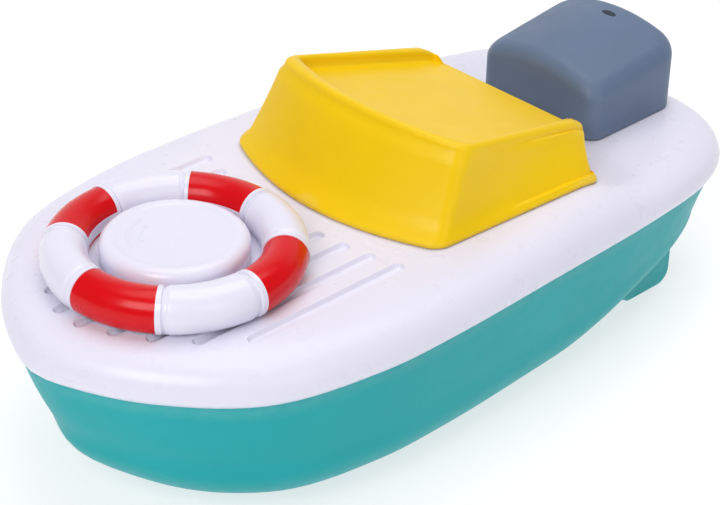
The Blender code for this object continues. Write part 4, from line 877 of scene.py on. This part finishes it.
def cowl_ring(inset, drop=0.0, foot=None):
    middle = (COWL_FRONT_X + COWL_BACK_X) / 2
    plan = cowl_half(inset, COWL_FRONT_ROUND)
    plan += [(-x, y) for x, y in reversed(cowl_half(inset, COWL_BACK_ROUND)[1:-1])]
    ring = []
    for x, y in plan:
        z = cowl_roof(middle + x, y) - drop if foot is None else deck_z(middle + x) + foot
        ring.append((middle + x, y, z))
    return ring


def make_cowl():
    inner = [cowl_ring(COWL_WALL + 0.0050, COWL_WALL), cowl_ring(COWL_WALL + 0.0008, COWL_WALL + 0.0008),
             cowl_ring(COWL_WALL, COWL_WALL + 0.0030), cowl_ring(COWL_WALL, foot=GAP)]
    outer = [cowl_ring(0.0003, foot=GAP), cowl_ring(0.0, foot=GAP + 0.0003), cowl_ring(0.0, foot=0.0030)]
    for degrees in range(0, 91, 10):
        turn = math.radians(degrees)
        outer.append(cowl_ring(COWL_EDGE * (1 - math.cos(turn)), COWL_EDGE * (1 - math.sin(turn))))
    cowl = boat_loft("cowl_skin", inner + outer, [SLATE])
    place(cowl, "hull", "slate_plastic", "motor_cowl")


def make_cowl_notch_shade():
    """Painted shade of the small finger notch near the back of the cowl's roof: a thin dark plate on the roof
    stands in for the shaded hollow.
    """
    bm = bmesh.new()
    steps = 32
    rings = []
    for grow, lift in ((0.0, -0.0004), (1.0, -0.0004), (1.0, 0.00003), (0.85, 0.00006), (0.2, 0.00006)):
        ring = []
        for i in range(steps):
            angle = 2 * math.pi * i / steps
            x = COWL_BACK_X + NOTCH_FROM_BACK + NOTCH_LENGTH / 2 * max(grow, 0.1) * math.cos(angle)
            y = NOTCH_WIDTH / 2 * max(grow, 0.1) * math.sin(angle)
            ring.append((x, y, cowl_roof(x, y) + lift))
        rings.append(ring)
    loft_into(bm, rings)
    # The dark plate paints the notch's shade; the roof itself is not cut
    place(add_object("cowl_notch_shade", bm, [NOTCH_PAINTED_SHADE], 50.0), "hull", "slate_plastic")


# ---------------------------------------------------------------- life ring

def band_share(degrees):
    """Signed distance in degrees past the nearest red band's end; negative inside the band."""
    from_centre = abs((degrees - BAND_CENTRE + 45.0) % 90.0 - 45.0)
    return from_centre - BAND_HALF


def tube_shrink(past):
    """How far the tube's skin lies inside its full radius, past degrees beyond a band's end."""
    if past < 0.0:
        return BAND_SINK
    if past < BAND_GAP:
        return 0.0
    past -= BAND_GAP
    if past < 2 * SLOT_HALF:
        return SLOT_DEPTH * math.sin(math.pi * min(max(past / (2 * SLOT_HALF), 0.15), 0.85))
    past -= 2 * SLOT_HALF
    if past < SHOULDER:
        return SHOULDER_SINK * (1 - math.sin(math.pi / 2 * past / SHOULDER))
    return 0.0


def ring_profile(shrink):
    """Section of the life ring as a closed (radius, z) loop, z above the deck plane."""
    center = RING_RADIUS - TUBE_RADIUS
    radius = TUBE_RADIUS - shrink
    section = [(SCREW_SHANK_HOLE, WEB_BOTTOM), (center - 0.0042, WEB_BOTTOM), (center - 0.0030, RING_FLOAT),
               (center + 0.0036, RING_FLOAT)]
    for degrees in range(-44, 198, 7):
        turn = math.radians(degrees)
        z = max(TUBE_CENTRE + radius * math.sin(turn), RING_FLOAT)
        section.append((center + radius * math.cos(turn), z))
    section += [(center - TUBE_RADIUS + 0.0006, WEB_TOP), (SOCKET_RADIUS, WEB_TOP),
                (SOCKET_RADIUS, SOCKET_TOP), (SCREW_SHANK_HOLE, SOCKET_TOP)]
    return section


def ring_angles():
    """Angles of the ring's sections: dense where a band ends."""
    offsets = [-BAND_HALF + 2 * BAND_HALF * i / 20 for i in range(21)]
    step = BAND_GAP + 2 * SLOT_HALF + SHOULDER
    edge = [0.02, 0.12, BAND_GAP - 0.12, BAND_GAP]
    edge += [BAND_GAP + 2 * SLOT_HALF * i / 6 for i in range(1, 7)]
    edge += [BAND_GAP + 2 * SLOT_HALF + SHOULDER * i / 6 for i in range(1, 7)]
    tail = 45.0 - BAND_HALF - step
    edge += [step + tail * i / 8 for i in range(1, 8)]
    mirrored = [BAND_HALF + e for e in edge] + [90.0 - BAND_HALF - e for e in reversed(edge)]
    one = offsets + mirrored[:len(edge)] + [45.0] + mirrored[len(edge):]
    return [BAND_CENTRE + 90.0 * k + a for k in range(4) for a in one]


def make_life_ring():
    bm = bmesh.new()
    rings = []
    angles = ring_angles()
    for degrees in angles:
        past = band_share(degrees)
        turn = math.radians(degrees)
        points = []
        for radius, z in ring_profile(tube_shrink(past - 0.001)):
            points.append((RING_X + radius * math.cos(turn), radius * math.sin(turn), DECK_Z + z))
        rings.append(points)
    loft_into(bm, rings, closed=True)
    center = RING_RADIUS - TUBE_RADIUS
    for face in bm.faces:
        middle = face.calc_center_median() - Vector((RING_X, 0.0, DECK_Z))
        past = band_share(math.degrees(math.atan2(middle.y, middle.x)))
        on_tube = math.hypot(middle.x, middle.y) > center - TUBE_RADIUS + 0.0004
        face.material_index = 1 if past < 0.0 and on_tube and middle.z > RING_FLOAT + 0.0001 else 0
    ring = add_object("ring_skin", bm, [WHITE, RED], 40.0)
    place(ring, "winder", "white_plastic", "life_ring")


def make_ring_cap():
    """Dished cover with a soft shoulder; its turning-arrow relief comes from make_arrows."""
    rim = WEB_TOP + GAP
    outer = [(CAP_RADIUS - 0.0003, rim), (CAP_RADIUS, rim + 0.0003)]
    for degrees in range(0, 91, 10):
        turn = math.radians(degrees)
        inset = CAP_ROUND * (1 - math.cos(turn))
        outer.append((CAP_RADIUS - inset, CAP_TOP - CAP_ROUND * (1 - math.sin(turn))))
    floor = CAP_TOP - CAP_DISH
    dish = [(CAP_RADIUS - 0.0036, CAP_TOP), (CAP_RADIUS - 0.0042, CAP_TOP - 0.0002),
            (CAP_RADIUS - 0.0048, floor), (0.0080, floor), (0.0010, floor)]
    inner = [(0.0010, CAP_TOP - CAP_WALL), (CAP_RADIUS - CAP_ROUND, CAP_TOP - CAP_WALL),
             (CAP_RADIUS - CAP_WALL, CAP_TOP - CAP_ROUND), (CAP_RADIUS - CAP_WALL, rim)]
    bm = bmesh.new()
    rows = [circle(r, DECK_Z + z, 128, (RING_X, 0.0)) for r, z in list(reversed(inner)) + outer + dish]
    loft_into(bm, rows)
    cap = add_object("cap_skin", bm, [WHITE], 50.0)
    place(cap, "winder", "white_plastic", "ring_cap")


def make_arrows():
    """Two curved arrows in low relief round the cap, showing which way it winds."""
    base = DECK_Z + CAP_TOP - ARROW_FOOT
    top = DECK_Z + CAP_TOP - ARROW_DROP
    bm = bmesh.new()
    for radius, start, end in ((0.0118, -83.0, -12.0), (0.0086, -74.0, -20.0)):
        steps = 24
        rings = []
        for i in range(steps + 1):
            share = i / steps
            turn = math.radians(start + (end - start) * share)
            half = 0.00055
            if share > 0.80:
                half = 0.0016 * (1.0 - share) / 0.20 + 0.0001
            corners = []
            for r, z in ((radius - half - 0.0001, base), (radius - half * 0.6, top),
                         (radius + half * 0.6, top), (radius + half + 0.0001, base)):
                corners.append((RING_X + r * math.cos(turn), r * math.sin(turn), z))
            rings.append(corners)
        loft_into(bm, rings)
    arrows = add_object("cap_arrows", bm, [WHITE], 40.0)
    place(arrows, "winder", "white_plastic")


# ---------------------------------------------------------------- carried-over nodes

FINISH = {
    "rim_seal": RUBBER, "shaft_seal": RUBBER, "stern_seal": RUBBER, "winding_shaft": STEEL,
    "gearbox_tray": IVORY, "gearbox_lid": IVORY, "great_wheel": BLUE, "ratchet_disc": SPRING_STEEL,
    "idler_gear": BLUE, "crown_gear": BLUE, "idler_arbor": STEEL, "crown_arbor": STEEL,
    "mainspring": SPRING_STEEL, "propeller_shaft": STEEL, "shaft_pinion": BLUE, "stern_tube": BRASS,
    "propeller": WHITE,
}


def finish_nodes():
    for name, item in nodes.items():
        material = FINISH.get(name, STEEL if "screw" in name else None)
        if material is None:
            continue
        for slot in item.material_slots:
            slot.material = material


# ---------------------------------------------------------------- stage

def make_floor():
    bm = bmesh.new()
    reach = 6.0
    rings = ((2.0, 0.0), (-3.0, 0.0), (-3.6, 0.12), (-4.0, 0.6), (-4.0, 4.0))
    turn = Matrix.Rotation(math.radians(45.688), 3, "Z")
    rows = []
    for x, z in rings:
        rows.append([bm.verts.new(turn @ Vector((x, y, z))) for y in (-reach, reach)])
    for a, b in zip(rows, rows[1:]):
        bm.faces.new((a[0], a[1], b[1], b[0]))
    material, tree, shader = new_material("pale_floor")
    coords = tree.nodes.new("ShaderNodeTexCoord").outputs["Object"]
    tone = ramp(tree, noise(tree, coords, 6.0, 3.0), [(0.3, (0.41, 0.41, 0.41)), (0.7, (0.44, 0.44, 0.44))])
    tree.links.new(tone, shader.inputs["Base Color"])
    shader.inputs["Emission Color"].default_value = (1.0, 1.0, 1.0, 1.0)
    shader.inputs["Emission Strength"].default_value = 0.64
    shader.inputs["Roughness"].default_value = 0.85
    shader.inputs["Specular IOR Level"].default_value = 0.15
    floor = add_object("floor", bm, [material])


def add_light(name, location, target, size, energy, color=(1.0, 1.0, 1.0)):
    light = bpy.data.lights.new(name, "AREA")
    light.shape = "RECTANGLE"
    light.size, light.size_y = size
    light.energy = energy
    light.color = color
    item = bpy.data.objects.new(name, light)
    item.location = location
    item.rotation_euler = (Vector(target) - Vector(location)).to_track_quat("-Z", "Y").to_euler()
    bpy.context.collection.objects.link(item)


def make_lights():
    world = bpy.data.worlds.new("studio")
    world.use_nodes = True
    background = world.node_tree.nodes["Background"]
    background.inputs["Color"].default_value = (0.96, 0.97, 1.0, 1.0)
    background.inputs["Strength"].default_value = 0.30
    bpy.context.scene.world = world
    add_light("key", (1.05, 0.35, 1.00), (0.0, 0.0, 0.03), (0.7, 0.7), 8.7)
    add_light("top", (-0.25, -0.10, 1.30), (0.0, 0.0, 0.03), (1.1, 1.1), 8.8, (0.99, 0.99, 1.0))
    add_light("side", (0.15, 1.20, 0.60), (0.0, 0.0, 0.03), (0.6, 0.8), 2.0)


def make_camera():
    """Long lens from the port bow, looking down at the foredeck."""
    yaw, pitch, roll = (math.radians(a) for a in (225.688, 31.726, 1.268))
    look = Vector((math.cos(pitch) * math.cos(yaw), math.cos(pitch) * math.sin(yaw), -math.sin(pitch)))
    right = look.cross(Vector((0, 0, 1))).normalized()
    up = right.cross(look)
    right_rolled = right * math.cos(roll) + up * math.sin(roll)
    up_rolled = up * math.cos(roll) - right * math.sin(roll)
    camera = bpy.data.cameras.new("camera")
    camera.sensor_width = 36.0
    camera.lens = 110.105
    camera.clip_start = 0.02
    item = bpy.data.objects.new("camera", camera)
    turn = Matrix((right_rolled, up_rolled, -look)).transposed()
    item.matrix_world = Matrix.Translation((0.36561, 0.37130, 0.35349)) @ turn.to_4x4()
    bpy.context.collection.objects.link(item)
    bpy.context.scene.camera = item
    bpy.context.scene.view_settings.view_transform = "Standard"


make_hull()
make_deck()
make_cabin()
make_cowl()
make_cowl_notch_shade()
make_life_ring()
make_ring_cap()
make_arrows()
finish_nodes()
make_floor()
make_lights()
make_camera()
